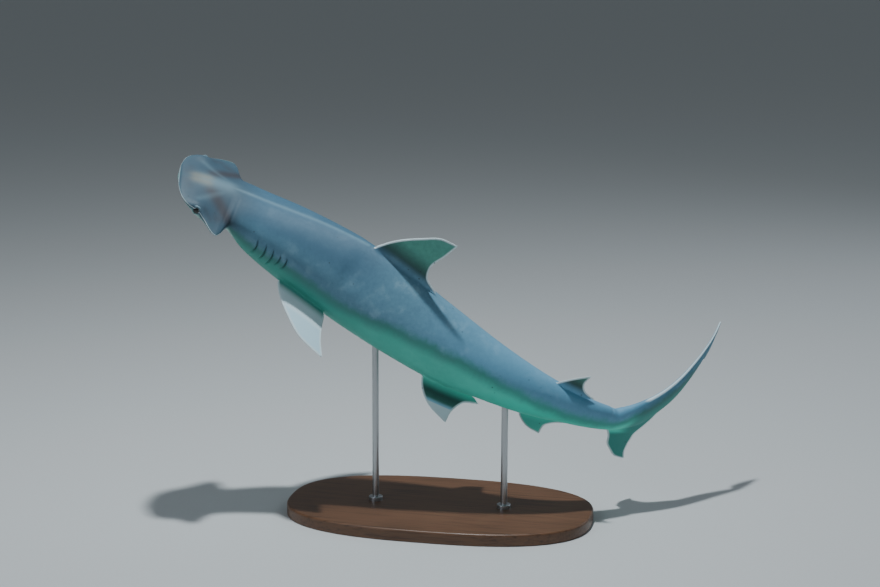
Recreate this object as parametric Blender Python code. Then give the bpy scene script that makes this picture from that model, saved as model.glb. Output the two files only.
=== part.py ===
"""An adult bonnethead shark, life size, swimming up and to one side on a plain display stand.

The fish is drawn straight first. A place on it is given by three shares of its length: s back
from the snout, y out to its left and z up. bend() then puts that place on the curved spine,
and to_world() tips the fish nose up, banks it and lifts it over the stand. Units are metres.
"""

import math

import bpy
import numpy as np

# Size and pose of the fish
TOTAL_LENGTH = 1.0
HEAD_YAW = math.radians(21.5)  # the neck is turned to the fish's left
SNOUT_YAW = math.radians(5)  # and the front of the head a little more
SNOUT_STRETCH = 0.16  # the snout's first stations stand this much farther apart
STALK_YAW = math.radians(41.0)  # the tail stalk is swept to its right
FIN_YAW = math.radians(40.4)  # the tail fin is swept further still
TIP_YAW = math.radians(12.1)  # and so is its tip
FIN_ROLL = math.radians(13.9)  # the tail fin's top leans to the fish's right
PITCH = math.radians(33.9)  # nose up
BANK = math.radians(17.8)  # left side down
STILL_STATION = 0.38  # the station that the bend leaves in place
AXIS_HEIGHT = 0.320  # of the still station over the floor

# Gaps and thin edges
GAP = 0.0003  # left between neighbouring nodes
EDGE = 0.0003  # half the thickness of a fin's edge

# How finely round shapes are divided
RING_POINTS = 32
STATION_STEP = 0.0165
HEAD_STEP = 0.0052
NOTCH_MARKS = [0.0682, 0.0734, 0.0786, 0.0838, 0.0890, 0.738, 0.7455, 0.753]
NOTCH_MARKS += [0.92, 0.927, 0.9325, 0.938, 0.944, 0.955, 0.968, 0.984]
FIN_ROWS = 8
FIN_COLUMNS = 9
EYE_SIDES = 20

# Where the long body is parted into nodes
PARTINGS = (0.125, 0.280, 0.435, 0.575, 0.745)
BODY_NODES = ("head", "gill_section", "torso", "hind_trunk", "tail_stalk", "tail_fin_upper")

# The body's outline, as pairs of station and size
HALF_WIDTH = (
    (0.0, 0.0), (0.003, 0.0325), (0.008, 0.0488), (0.016, 0.0590), (0.023, 0.0630),
    (0.032, 0.0649), (0.045, 0.0757), (0.058, 0.0870), (0.066, 0.0920), (0.0725, 0.0938),
    (0.0790, 0.0868), (0.0845, 0.0710), (0.091, 0.0572), (0.100, 0.0540), (0.110, 0.0540),
    (0.16, 0.0580), (0.20, 0.0602),
    (0.28, 0.0622), (0.36, 0.0605), (0.42, 0.0565), (0.48, 0.0492), (0.54, 0.0402),
    (0.60, 0.0312), (0.66, 0.0234), (0.70, 0.0180), (0.74, 0.0136), (0.80, 0.0082),
    (0.88, 0.0048), (0.94, 0.0030), (1.0, 0.0012),
)
BACK = (
    (0.0, 0.0), (0.003, 0.0072), (0.008, 0.0094), (0.020, 0.0124), (0.040, 0.0156),
    (0.070, 0.0195), (0.100, 0.0222), (0.13, 0.0248), (0.17, 0.0308), (0.21, 0.0385),
    (0.25, 0.0455), (0.295, 0.0525), (0.33, 0.0550), (0.37, 0.0530), (0.41, 0.0490),
    (0.45, 0.0455), (0.50, 0.0420), (0.57, 0.0392), (0.61, 0.0370), (0.65, 0.0335),
    (0.70, 0.0272), (0.735, 0.0232), (0.746, 0.0205), (0.757, 0.0255), (0.80, 0.0455),
    (0.88, 0.0776), (0.94, 0.1068), (1.0, 0.1187),
)
BELLY = (
    (0.0, 0.0), (0.003, 0.0004), (0.008, -0.0024), (0.020, -0.0095), (0.045, -0.0205),
    (0.070, -0.0310), (0.095, -0.0380), (0.13, -0.0588), (0.17, -0.0705), (0.21, -0.0775),
    (0.26, -0.0812), (0.31, -0.0822), (0.36, -0.0800), (0.42, -0.0755), (0.47, -0.0705),
    (0.51, -0.0615), (0.55, -0.0500), (0.60, -0.0388), (0.64, -0.0300), (0.67, -0.0235),
    (0.71, -0.0205), (0.745, -0.0182), (0.80, -0.0083), (0.83, 0.0092), (0.88, 0.0356),
    (0.921, 0.0722), (0.933, 0.0850), (0.944, 0.0745), (0.97, 0.0880), (1.0, 0.1172),
)
# The level of the widest line of each section
FLANK = (
    (0.0, 0.0045), (0.023, 0.0050), (0.045, 0.0015), (0.069, -0.0036), (0.090, -0.0046),
    (0.13, -0.0130), (0.20, -0.0195), (0.30, -0.0220), (0.41, -0.0190), (0.49, -0.0120),
    (0.57, -0.0040), (0.67, 0.0020), (0.745, 0.0030), (0.80, 0.0270), (0.88, 0.0640),
    (0.94, 0.0960), (1.0, 0.1180),
)
# How far a section is a low dome standing on flat side lobes: all of it for one, none for zero
DOME = ((0.0, 0.10), (0.020, 0.50), (0.078, 0.66), (0.094, 0.20), (0.125, 0.0), (1.0, 0.0))
DOME_WIDTH = 0.042
# How sharp the side margin is: one for a rounded edge, more for a thinner one
THIN = ((0.0, 1.0), (0.02, 1.15), (0.05, 1.30), (0.080, 1.40), (0.10, 1.0), (1.0, 1.0))
# How blunt the side margin is: one for an oval, less for a blunter one
BLUNT = ((0.0, 1.0), (0.012, 0.75), (0.0325, 0.45), (0.055, 0.75), (0.09, 1.0), (1.0, 1.0))
# How far a back is a ridge instead of round
RIDGE = (
    (0.0, 0.0), (0.17, 0.0), (0.21, 0.10), (0.27, 0.22), (0.30, 0.38), (0.38, 0.35),
    (0.50, 0.10), (0.60, 0.0), (1.0, 0.0),
)
RIDGE_ROUND = 0.15
ORBIT_SWELL = (0.0056, 0.0056)  # the head thickens this much above and below each eye
ORBIT_REACH = 0.0135

# Eyes, at the front side margin of the head
EYE_STATION = 0.0318
EYE_OUT = 0.0608
EYE_LEVEL = 0.0026
EYE_FACING = (-0.30, 0.95, 0.08)  # back, out and up
EYE_RADIUS = 0.0066
EYE_DEPTH = 0.0052  # half the eyeball's thickness along its facing
LID_RADIUS = 0.0013
LID_RING = 0.0060  # the lid rim's own radius round the eye
LID_OUT = 0.0031  # and its place along the facing

# Mouth, an arch across the underside of the head
MOUTH_FRONT = 0.078
MOUTH_LENGTH = 0.034
MOUTH_HALF_WIDTH = 0.034
MOUTH_GROOVE = 0.0013
LIP_RADIUS = 0.0017
LIP_BEHIND = 0.0034

# Nostrils, slits under the front margin beside the eyes
NOSTRIL_INNER = (0.0125, 0.0420)
NOSTRIL_OUTER = (0.0175, 0.0520)
NOSTRIL_GROOVE = 0.0013

# Gill slits
GILL_STATIONS = (0.1410, 0.1570, 0.1710, 0.1840, 0.1960)
GILL_TOP_ANGLE = math.radians(14)  # round the section, up from the flank line
GILL_BOTTOM_ANGLE = math.radians(-22)
LAST_GILL_BOTTOM = math.radians(-9)
GILL_WIDTH = 0.0011
GILL_DEPTH = 0.0030
GILL_LEAN = 0.0022  # the cut runs this far forward under the flap
GILL_BOW = 0.0030  # the slit's middle stands back from its ends

# Upright fins: outline points as station and level
DORSAL_LEADING = (
    (0.286, 0.034), (0.319, 0.0840), (0.352, 0.1165), (0.3775, 0.1355), (0.3995, 0.1400),
)
DORSAL_TRAILING = (
    (0.412, 0.0515), (0.3885, 0.0660), (0.3845, 0.0830), (0.3935, 0.1130),
    (0.4005, 0.1385),
)
DORSAL_BASE = ((0.286, 0.034), (0.335, 0.040), (0.384, 0.047), (0.412, 0.0515))
SECOND_DORSAL_LEADING = ((0.622, 0.024), (0.640, 0.0450), (0.654, 0.0585), (0.6700, 0.0705))
SECOND_DORSAL_TRAILING = ((0.6980, 0.0318), (0.6755, 0.0430), (0.6690, 0.0560), (0.6710, 0.0695))
SECOND_DORSAL_BASE = ((0.622, 0.024), (0.645, 0.025), (0.670, 0.0270), (0.6980, 0.0318))
ANAL_LEADING = ((0.600, -0.026), (0.6180, -0.0500), (0.6380, -0.0610), (0.6560, -0.0635))
ANAL_TRAILING = ((0.690, -0.0250), (0.6660, -0.0355), (0.6560, -0.0480), (0.6575, -0.0625))
ANAL_BASE = ((0.600, -0.026), (0.628, -0.0200), (0.662, -0.0190), (0.690, -0.0250))
LOWER_LOBE_LEADING = (
    (0.737, -0.006), (0.7600, -0.0310), (0.7690, -0.0487), (0.7825, -0.0620),
    (0.7965, -0.0730), (0.8165, -0.0785),
)
LOWER_LOBE_TRAILING = (
    (0.842, 0.0150), (0.8290, -0.0020), (0.8165, -0.0170), (0.8085, -0.0300),
    (0.8085, -0.0445), (0.8105, -0.0610), (0.8175, -0.0770),
)
LOWER_LOBE_BASE = ((0.737, -0.006), (0.775, 0.002), (0.810, 0.010), (0.842, 0.0150))
DORSAL_HALF_THICKNESS = 0.0042
SECOND_DORSAL_HALF_THICKNESS = 0.0022
ANAL_HALF_THICKNESS = 0.0022
LOWER_LOBE_HALF_THICKNESS = 0.0030
ROOT_FLARE = 0.9  # how much thicker a fin is at its root

# Paired fins: outline points as distance back and distance out from the root
PECTORAL_ROOT = (0.205, 0.050, -0.055)
PECTORAL_DROOP = math.radians(16)
PECTORAL_LEADING = (
    (-0.012, -0.018), (0.0065, 0.0170), (0.0330, 0.0440), (0.0700, 0.0700),
    (0.1085, 0.0800),
)
PECTORAL_TRAILING = ((0.0835, 0.0140), (0.0885, 0.0330), (0.0965, 0.0540), (0.1100, 0.0785))
PECTORAL_BASE = ((-0.012, -0.018), (0.022, -0.024), (0.058, -0.016), (0.0835, 0.0140))
PECTORAL_HALF_THICKNESS = 0.0040
PELVIC_ROOT = (0.463, 0.024, -0.058)
PELVIC_DROOP = math.radians(33)
PELVIC_LEADING = ((-0.008, -0.008), (0.0110, 0.0225), (0.0380, 0.0395), (0.0680, 0.0450))
PELVIC_TRAILING = ((0.0930, -0.0090), (0.0730, 0.0050), (0.0670, 0.0280), (0.0695, 0.0440))
PELVIC_BASE = ((-0.008, -0.008), (0.022, -0.014), (0.060, -0.018), (0.0930, -0.0090))
PELVIC_HALF_THICKNESS = 0.0024

# Display stand
FRONT_ROD_STATION = 0.33
REAR_ROD_STATION = 0.565
ROD_RADIUS = 0.005
ROD_SIDES = 24
SOCKET_DEPTH = 0.010
BASE_LENGTH = 0.46
BASE_WIDTH = 0.27
BASE_THICKNESS = 0.018
BASE_BEVEL = 0.002
BASE_SIDES = 64
BASE_SQUARENESS = 2.6  # two would be an oval


def clear_scene():
    for old in list(bpy.data.objects):
        bpy.data.objects.remove(old, do_unlink=True)


def through(points, at):
    """A smooth curve through the given pairs that never swings past them."""
    x, y = np.array(points, float).T
    step = np.diff(x)
    slope = np.diff(y) / step
    both = slope[:-1] * slope[1:]
    total = slope[:-1] + slope[1:]
    inner = np.where(both > 0, 2 * both / np.where(total == 0, 1, total), 0.0)
    tangent = np.concatenate([[slope[0]], inner, [slope[-1]]])
    at = np.clip(at, x[0], x[-1])
    k = np.clip(np.searchsorted(x, at) - 1, 0, len(step) - 1)
    t = (at - x[k]) / step[k]
    return (
        y[k] * (1 + 2 * t) * (1 - t) ** 2
        + y[k + 1] * t * t * (3 - 2 * t)
        + step[k] * (tangent[k] * t * (1 - t) ** 2 - tangent[k + 1] * t * t * (1 - t))
    )


def along_body(points, s):
    """A size at a station. Its curve runs in the root of s, so that the snout comes out round."""
    return through([(math.sqrt(a), b) for a, b in points], np.sqrt(s))


def eased(s, start, end):
    t = np.clip((s - start) / (end - start), 0, 1)
    return t * t * (3 - 2 * t)


def spine():
    """Stations, the spine's points and its turn at each, in the frame of the unturned fish."""
    s = np.linspace(0, 1, 2001)
    turn = (
        SNOUT_YAW * (1 - eased(s, 0.0, 0.09))
        + HEAD_YAW * (1 - eased(s, 0.02, 0.34))
        + STALK_YAW * eased(s, 0.48, 0.80)
        + FIN_YAW * eased(s, 0.692, 0.965)
        + TIP_YAW * eased(s, 0.90, 1.0)
    )
    back = np.stack([-np.cos(turn), -np.sin(turn)], 1)
    stretch = 1 + SNOUT_STRETCH * (1 - eased(s[1:], 0.0, 0.05))
    steps = (back[1:] + back[:-1]) / 2 * (s[1] - s[0]) * stretch[:, None]
    points = np.concatenate([[[0.0, 0.0]], np.cumsum(steps, 0)])
    still = [np.interp(STILL_STATION, s, points[:, i]) for i in range(2)]
    return s, points - still, turn


SPINE_S, SPINE_POINTS, SPINE_TURN = spine()


def frame_at(s):
    """The spine's point and its back, left and up directions at a station."""
    turn = np.interp(s, SPINE_S, SPINE_TURN)
    here = [np.interp(s, SPINE_S, SPINE_POINTS[:, i]) for i in range(2)]
    zero, one = np.zeros_like(turn), np.ones_like(turn)
    point = np.stack([here[0], here[1], zero], -1)
    back = np.stack([-np.cos(turn), -np.sin(turn), zero], -1)
    left = np.stack([-np.sin(turn), np.cos(turn), zero], -1)
    up = np.stack([zero, zero, one], -1)
    roll = FIN_ROLL * eased(s, 0.72, 0.90)
    level, lean = np.cos(roll)[..., None], np.sin(roll)[..., None]
    return point, back, left * level + up * lean, up * level - left * lean


def world_axes():
    """World X, Y and Z as seen by the fish, whose own axes are forward, left and up."""
    up = np.array(
        [
            math.sin(PITCH),
            -math.cos(PITCH) * math.sin(BANK),
            math.cos(PITCH) * math.cos(BANK),
        ]
    )
    forward = np.array([1.0, 0.0, 0.0]) - up * up[0]
    x = -forward / np.linalg.norm(forward)
    return np.stack([x, np.cross(up, x), up])


def to_world(points):
    return TOTAL_LENGTH * points @ world_axes().T + STAND_SHIFT


def bend(s, y, z):
    """World points for places on the straight fish."""
    s, y, z = np.broadcast_arrays(*(np.asarray(v, float) for v in (s, y, z)))
    point, _, left, up = frame_at(s)
    return to_world(point + left * y[..., None] + up * z[..., None])


def section(s, angle, grow=0.0):
    """Out and up of the skin at station s and at an angle round it, zero at the left flank."""
    width = along_body(HALF_WIDTH, s) + grow
    level = along_body(FLANK, s)
    top = along_body(BACK, s) + grow - level
    bottom = along_body(BELLY, s) - grow - level
    dome = along_body(DOME, s)
    ridge = along_body(RIDGE, s)
    across = np.abs(np.cos(angle)) ** along_body(BLUNT, s)
    y = width * np.sign(np.cos(angle)) * across
    rise = np.abs(np.sin(angle))
    lens = rise ** along_body(THIN, s)
    edge = np.exp(-((width / DOME_WIDTH) ** 2))
    hill = (np.exp(-((y / DOME_WIDTH) ** 2)) - edge) / np.maximum(1 - edge, 1e-9)
    peak = 1 - np.sqrt(across**2 + RIDGE_ROUND**2 * rise**2)
    upper = top * ((1 - dome - ridge) * lens + dome * hill + ridge * peak / (1 - RIDGE_ROUND))
    lower = bottom * ((1 - dome / 2) * lens + dome / 2 * hill)
    swell = np.sqrt(rise) * np.exp(
        -(((s - EYE_STATION) / ORBIT_REACH) ** 2) - ((np.abs(y) - EYE_OUT) / ORBIT_REACH) ** 2
    )
    above, below = ORBIT_SWELL
    z = level + np.where(np.sin(angle) >= 0, upper + above * swell, lower - below * swell)
    return y, z


def underside(s, y):
    """The level of the head's underside below a place."""
    across = np.clip(np.abs(y) / along_body(HALF_WIDTH, s), 0, 1) ** (1 / along_body(BLUNT, s))
    return section(s, -np.arccos(across))[1]


def material(name, colour, roughness):
    made = bpy.data.materials.new(name)
    made.use_nodes = True
    shader = made.node_tree.nodes["Principled BSDF"]
    shader.inputs["Base Color"].default_value = (*colour, 1)
    shader.inputs["Roughness"].default_value = roughness
    return made


def add_object(name, points, faces, look=None, smooth=True):
    mesh = bpy.data.meshes.new(name)
    mesh.from_pydata([tuple(p) for p in points], [], faces)
    for face in mesh.polygons:
        face.use_smooth = smooth
    made = bpy.data.objects.new(name, mesh)
    bpy.context.scene.collection.objects.link(made)
    if look:
        mesh.materials.append(look)
    else:
        made.hide_render = True
        made.display_type = "WIRE"
    return made


def combine(target, other, operation, solver="EXACT"):
    step = target.modifiers.new(other.name, "BOOLEAN")
    step.operation = operation
    step.solver = solver
    step.object = other


def cut_finely(target, other, operation="DIFFERENCE"):
    """For the small gill, mouth and eye shapes, where the exact solver leaves open edges."""
    combine(target, other, operation, "MANIFOLD")


def rings_to_faces(count, around):
    """Faces of a closed tube of rings, with its two ends as fans round a middle point."""
    faces = []
    for i in range(count - 1):
        for j in range(around):
            a, b = i * around + j, i * around + (j + 1) % around
            faces.append((a, b, b + around, a + around))
    first, last = count * around, count * around + 1
    end = (count - 1) * around
    for j in range(around):
        faces.append((first, (j + 1) % around, j))
        faces.append((last, end + j, end + (j + 1) % around))
    return faces


def tube(rings, first, last):
    """Points and faces of a closed tube from its rings and the middles of its ends."""
    count, around = rings.shape[:2]
    return np.concatenate([rings.reshape(-1, 3), [first, last]]), rings_to_faces(count, around)


def stations_between(start, end):
    """Stations for rings: closer together at the blunt snout, the lobes and the tail's notch."""
    marks = [0.0006, 0.0022, 0.0048]
    marks += list(np.arange(0.0084, 0.118, HEAD_STEP))
    marks += list(np.arange(0.1185, 0.915, STATION_STEP))
    marks += NOTCH_MARKS
    marks = sorted(m for m in marks if start + 0.002 < m < end - 0.002 or m < min(0.005, end))
    return np.array([m for m in marks if m >= start])


def body_length(start, end, grow=0.0):
    """A closed length of the body between two stations."""
    inner = stations_between(start, end)
    s = np.concatenate([[start] if start > 0 else [], inner, [end]])
    angle = np.linspace(0, 2 * math.pi, RING_POINTS, endpoint=False)
    y, z = section(s[:, None], angle[None, :], grow)
    rings = bend(s[:, None], y, z)
    middle = (section(s[-1], math.pi / 2)[1] + section(s[-1], -math.pi / 2)[1]) / 2
    last = bend(s[-1], 0.0, middle)
    if start > 0:
        middle = (section(s[0], math.pi / 2)[1] + section(s[0], -math.pi / 2)[1]) / 2
        first = bend(s[0], 0.0, middle)
    else:
        first = bend(-grow, 0.0, 0.0)
    return tube(rings, first, last)


def outline(points, count):
    """Evenly spaced places along a smooth line through the given ones."""
    points = np.array(points, float)
    run = np.concatenate([[0], np.cumsum(np.linalg.norm(np.diff(points, axis=0), axis=1))])
    at = np.linspace(0, run[-1], count)
    return np.stack([through(list(zip(run, points[:, i])), at) for i in range(2)], -1)


def blade(leading, trailing, base, half_thickness):
    """A fin's places in its own plane, with the half thickness at each of them."""
    fore = outline(leading, FIN_ROWS)[:, None]
    rear = outline(trailing, FIN_ROWS)[:, None]
    foot = outline(base, FIN_COLUMNS)[None, :]
    t = (np.linspace(0, 1, FIN_ROWS) ** 0.9)[:, None, None]
    c = np.linspace(0, 1, FIN_COLUMNS)[None, :, None]
    tip = fore[-1] * (1 - c) + rear[-1] * c
    corners = (
        (1 - t) * ((1 - c) * fore[0] + c * rear[0]) + t * ((1 - c) * fore[-1] + c * rear[-1])
    )
    flat = (1 - t) * foot + t * tip + (1 - c) * fore + c * rear - corners
    t, c = t[..., 0], c[..., 0]
    foil = 2.6 * np.sqrt(c) * (1 - c) * (1 - 0.35 * c)
    root = 1 + ROOT_FLARE * (1 - t) ** 6
    half = EDGE + (half_thickness - EDGE) * foil * (1 - t) ** 0.75 * root
    return flat, half


def fin_solid(near, far):
    """A closed solid from the two faces of a fin, split into triangles alike."""
    rows, columns = near.shape[:2]
    points = np.concatenate([near.reshape(-1, 3), far.reshape(-1, 3)])
    shift = rows * columns
    faces = []
    for i in range(rows - 1):
        for j in range(columns - 1):
            a, b = i * columns + j, i * columns + j + 1
            c, d = b + columns, a + columns
            faces += [(a, b, c), (a, c, d)]
            faces += [(a + shift, c + shift, b + shift), (a + shift, d + shift, c + shift)]
    border = [j for j in range(columns)]
    border += [i * columns + columns - 1 for i in range(1, rows)]
    border += [(rows - 1) * columns + j for j in range(columns - 2, -1, -1)]
    border += [i * columns for i in range(rows - 2, 0, -1)]
    for k, a in enumerate(border):
        b = border[(k + 1) % len(border)]
        faces += [(b, a, a + shift), (b, a + shift, b + shift)]
    return points, faces


def upright_fin(leading, trailing, base, half_thickness):
    flat, half = blade(leading, trailing, base, half_thickness)
    near = bend(flat[..., 0], half, flat[..., 1])
    far = bend(flat[..., 0], -half, flat[..., 1])
    return fin_solid(near, far)


def paired_fin(side, root, droop, leading, trailing, base, half_thickness):
    """A left fin for side 1 and a right one for side -1, in a flat plane that droops."""
    flat, half = blade(leading, trailing, base, half_thickness)
    point, back, left, up = frame_at(root[0])
    out = side * left * math.cos(droop) - up * math.sin(droop)
    face = side * left * math.sin(droop) + up * math.cos(droop)
    middle = point + side * left * root[1] + up * root[2]
    middle = middle + flat[..., :1] * back + flat[..., 1:] * out
    near = to_world(middle + half[..., None] * face)
    far = to_world(middle - half[..., None] * face)
    return fin_solid(near, far)


def facing_out(points, faces):
    """The same faces, turned round if the solid they close is inside out."""
    volume = 0.0
    for face in faces:
        for k in range(1, len(face) - 1):
            a, b, c = points[face[0]], points[face[k]], points[face[k + 1]]
            volume += np.dot(a, np.cross(b, c))
    return faces if volume > 0 else [tuple(reversed(face)) for face in faces]


def in_triangles(faces):
    return [(face[0], face[k], face[k + 1]) for face in faces for k in range(1, len(face) - 1)]


def add_solid(name, shape, look=None):
    points, faces = shape
    return add_object(name, points, facing_out(points, in_triangles(faces)), look)


def rope(path, radius, around=6):
    """A closed round rope along world points, narrowing to its ends."""
    path = np.array(path)
    way = np.gradient(path, axis=0)
    way /= np.linalg.norm(way, axis=1)[:, None]
    side = np.cross(way, world_axes().T[2])
    side /= np.linalg.norm(side, axis=1)[:, None]
    over = np.cross(side, way)
    share = np.linspace(-1, 1, len(path))
    size = radius * (0.35 + 0.65 * np.sqrt(np.maximum(1 - share**4, 0)))
    angle = np.linspace(0, 2 * math.pi, around, endpoint=False)[None, :, None]
    rings = path[:, None] + size[:, None, None] * (
        np.cos(angle) * side[:, None] + np.sin(angle) * over[:, None]
    )
    ends = path[0] - way[0] * size[0], path[-1] + way[-1] * size[-1]
    return tube(rings, *ends)


def mouth_path(behind=0.0, proud=0.0, count=21):
    share = np.linspace(-1, 1, count)
    s = MOUTH_FRONT + behind + MOUTH_LENGTH * np.abs(share) ** 2.2
    y = (MOUTH_HALF_WIDTH - behind) * np.sin(share * math.pi / 2)
    return bend(s, y, underside(s, y) - proud)


def nostril_path(side):
    share = np.linspace(0, 1, 7)
    s = NOSTRIL_INNER[0] + (NOSTRIL_OUTER[0] - NOSTRIL_INNER[0]) * share**1.3
    y = NOSTRIL_INNER[1] + (NOSTRIL_OUTER[1] - NOSTRIL_INNER[1]) * share
    return bend(s, side * y, underside(s, y))


def gill_cut(station, bottom_angle, side):
    """A thin slanting slab that cuts one gill slit, pointed at both ends."""
    share = np.linspace(-1, 1, 11)
    angle = GILL_TOP_ANGLE + (bottom_angle - GILL_TOP_ANGLE) * (share + 1) / 2
    s = station + GILL_BOW * (1 - share**2)
    y, z = section(s, angle)
    outward = np.stack([np.cos(angle), np.sin(angle)], 1)
    body = np.sqrt(np.maximum(1 - share**2, 0)) * 0.9 + 0.1
    rings = []
    for depth, shift in ((0.002, 1), (0.002, -1), (-1, -1), (-1, 1)):
        deep = np.where(depth < 0, -GILL_DEPTH * body, depth)
        lean = np.where(depth < 0, -GILL_LEAN, GILL_LEAN * 0.6)
        along = s + lean + shift * GILL_WIDTH / 2 * body
        rings.append(bend(along, side * (y + outward[:, 0] * deep), z + outward[:, 1] * deep))
    rings = np.stack(rings, 1)
    return tube(rings, rings[0].mean(0), rings[-1].mean(0))


def eye_axes(side):
    """The eye's middle, and its facing and two cross directions, in the world."""
    centre = bend(EYE_STATION, side * EYE_OUT, EYE_LEVEL)
    _, back, left, up = frame_at(EYE_STATION)
    facing = EYE_FACING[0] * back + EYE_FACING[1] * side * left + EYE_FACING[2] * up
    facing = world_axes() @ (facing / np.linalg.norm(facing))
    across = np.cross(world_axes() @ up, facing)
    across /= np.linalg.norm(across)
    return centre, facing, across, np.cross(facing, across)


def turned(profile, side, around=EYE_SIDES):
    """A solid turned round the eye's facing from pairs of radius and distance along it."""
    centre, facing, across, over = eye_axes(side)
    angle = np.linspace(0, 2 * math.pi, around, endpoint=False)[None, :, None]
    profile = np.array(profile)
    rings = (
        centre
        + profile[1:-1, 1, None, None] * facing
        + profile[1:-1, 0, None, None] * (np.cos(angle) * across + np.sin(angle) * over)
    )
    return tube(rings, centre + profile[0, 1] * facing, centre + profile[-1, 1] * facing)


def ball_profile(grow=0.0):
    angle = np.linspace(-math.pi / 2, math.pi / 2, EYE_SIDES // 2)
    return np.stack([(EYE_RADIUS + grow) * np.cos(angle), (EYE_DEPTH + grow) * np.sin(angle)], 1)


def lid_ring(side, around=EYE_SIDES):
    """A rounded rim half sunk in the head round the eye."""
    centre, facing, across, over = eye_axes(side)
    turn = np.linspace(0, 2 * math.pi, around, endpoint=False)
    points, faces = [], []
    corners = 6
    for i, a in enumerate(turn):
        radial = math.cos(a) * across + math.sin(a) * over
        for k in range(corners):
            b = 2 * math.pi * k / corners
            r = LID_RING + LID_RADIUS * math.cos(b)
            points.append(centre + r * radial + (LID_OUT + LID_RADIUS * math.sin(b)) * facing)
            here, there = i * corners, (i + 1) % around * corners
            m = (k + 1) % corners
            faces.append((here + k, there + k, there + m, here + m))
    return np.array(points), faces


def upright_round(centre, radius, bottom, top, sides):
    """A round upright bar."""
    angle = np.linspace(0, 2 * math.pi, sides, endpoint=False)
    ring = np.stack([centre[0] + radius * np.cos(angle), centre[1] + radius * np.sin(angle)], 1)
    rings = np.stack([np.column_stack([ring, np.full(sides, h)]) for h in (bottom, top)])
    return tube(rings, (*centre, bottom), (*centre, top))


def base_plate():
    """A flat plate of rounded outline with a small bevel round its top and bottom."""
    angle = np.linspace(0, 2 * math.pi, BASE_SIDES, endpoint=False)
    power = 2 / BASE_SQUARENESS
    x = np.sign(np.cos(angle)) * np.abs(np.cos(angle)) ** power
    y = np.sign(np.sin(angle)) * np.abs(np.sin(angle)) ** power
    rings = []
    for inset, height in (
        (BASE_BEVEL, 0.0),
        (0.0, BASE_BEVEL),
        (0.0, BASE_THICKNESS - BASE_BEVEL),
        (BASE_BEVEL, BASE_THICKNESS),
    ):
        length, width = BASE_LENGTH / 2 - inset, BASE_WIDTH / 2 - inset
        rings.append(np.column_stack([x * length, y * width, np.full(BASE_SIDES, height)]))
    return tube(np.stack(rings), (0, 0, 0.0), (0, 0, BASE_THICKNESS))


def stand_shift():
    """The base's middle lies under the middle between the rods, and the fish above it."""
    rods = np.array([frame_at(s)[0] for s in (FRONT_ROD_STATION, REAR_ROD_STATION)])
    middle = (TOTAL_LENGTH * rods @ world_axes().T).mean(0)
    return np.array([-middle[0], -middle[1], AXIS_HEIGHT])


STAND_SHIFT = stand_shift()


def build_body():
    skin = material("blue_grey_skin", (0.20, 0.28, 0.33), 0.45)
    starts = (0.0,) + PARTINGS
    ends = PARTINGS + (1.0,)
    made = {}
    for i, name in enumerate(BODY_NODES):
        start = starts[i] + (GAP / 2 if i else 0)
        end = ends[i] - (GAP / 2 if i < len(PARTINGS) else 0)
        made[name] = add_solid(name, body_length(start, end), skin)
    return made


def cut_gills(gill_section):
    for i, station in enumerate(GILL_STATIONS):
        bottom = LAST_GILL_BOTTOM if i > 2 else GILL_BOTTOM_ANGLE
        for side, word in ((1, "left"), (-1, "right")):
            cutter = add_solid(f"cutter_gill_{i}_{word}", gill_cut(station, bottom, side))
            cut_finely(gill_section, cutter)


def shape_face(head):
    lip = add_solid("helper_lip", rope(mouth_path(LIP_BEHIND, -0.0006), LIP_RADIUS))
    cut_finely(head, lip, "UNION")
    groove = add_solid("cutter_mouth", rope(mouth_path(), MOUTH_GROOVE))
    cut_finely(head, groove)
    eye_look = material("dark_eye", (0.02, 0.02, 0.025), 0.15)
    for side, word in ((1, "left"), (-1, "right")):
        nostril = add_solid(f"cutter_nostril_{word}", rope(nostril_path(side), NOSTRIL_GROOVE))
        cut_finely(head, nostril)
        cut_finely(head, add_solid(f"helper_lid_{word}", lid_ring(side)), "UNION")
        socket = add_solid(f"cutter_socket_{word}", turned(ball_profile(GAP), side))
        cut_finely(head, socket)
        add_solid(f"eye_{word}", turned(ball_profile(), side), eye_look)


def build_fins(grown_body):
    fin = material("pale_fin_skin", (0.42, 0.50, 0.50), 0.45)
    shapes = {
        "first_dorsal_fin": upright_fin(
            DORSAL_LEADING, DORSAL_TRAILING, DORSAL_BASE, DORSAL_HALF_THICKNESS
        ),
        "second_dorsal_fin": upright_fin(
            SECOND_DORSAL_LEADING,
            SECOND_DORSAL_TRAILING,
            SECOND_DORSAL_BASE,
            SECOND_DORSAL_HALF_THICKNESS,
        ),
        "anal_fin": upright_fin(ANAL_LEADING, ANAL_TRAILING, ANAL_BASE, ANAL_HALF_THICKNESS),
        "tail_fin_lower": upright_fin(
            LOWER_LOBE_LEADING, LOWER_LOBE_TRAILING, LOWER_LOBE_BASE, LOWER_LOBE_HALF_THICKNESS
        ),
    }
    for side, word in ((1, "left"), (-1, "right")):
        shapes[f"pectoral_fin_{word}"] = paired_fin(
            side,
            PECTORAL_ROOT,
            PECTORAL_DROOP,
            PECTORAL_LEADING,
            PECTORAL_TRAILING,
            PECTORAL_BASE,
            PECTORAL_HALF_THICKNESS,
        )
        shapes[f"pelvic_fin_{word}"] = paired_fin(
            side,
            PELVIC_ROOT,
            PELVIC_DROOP,
            PELVIC_LEADING,
            PELVIC_TRAILING,
            PELVIC_BASE,
            PELVIC_HALF_THICKNESS,
        )
    for name, shape in shapes.items():
        combine(add_solid(name, shape, fin), grown_body, "DIFFERENCE")


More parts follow.
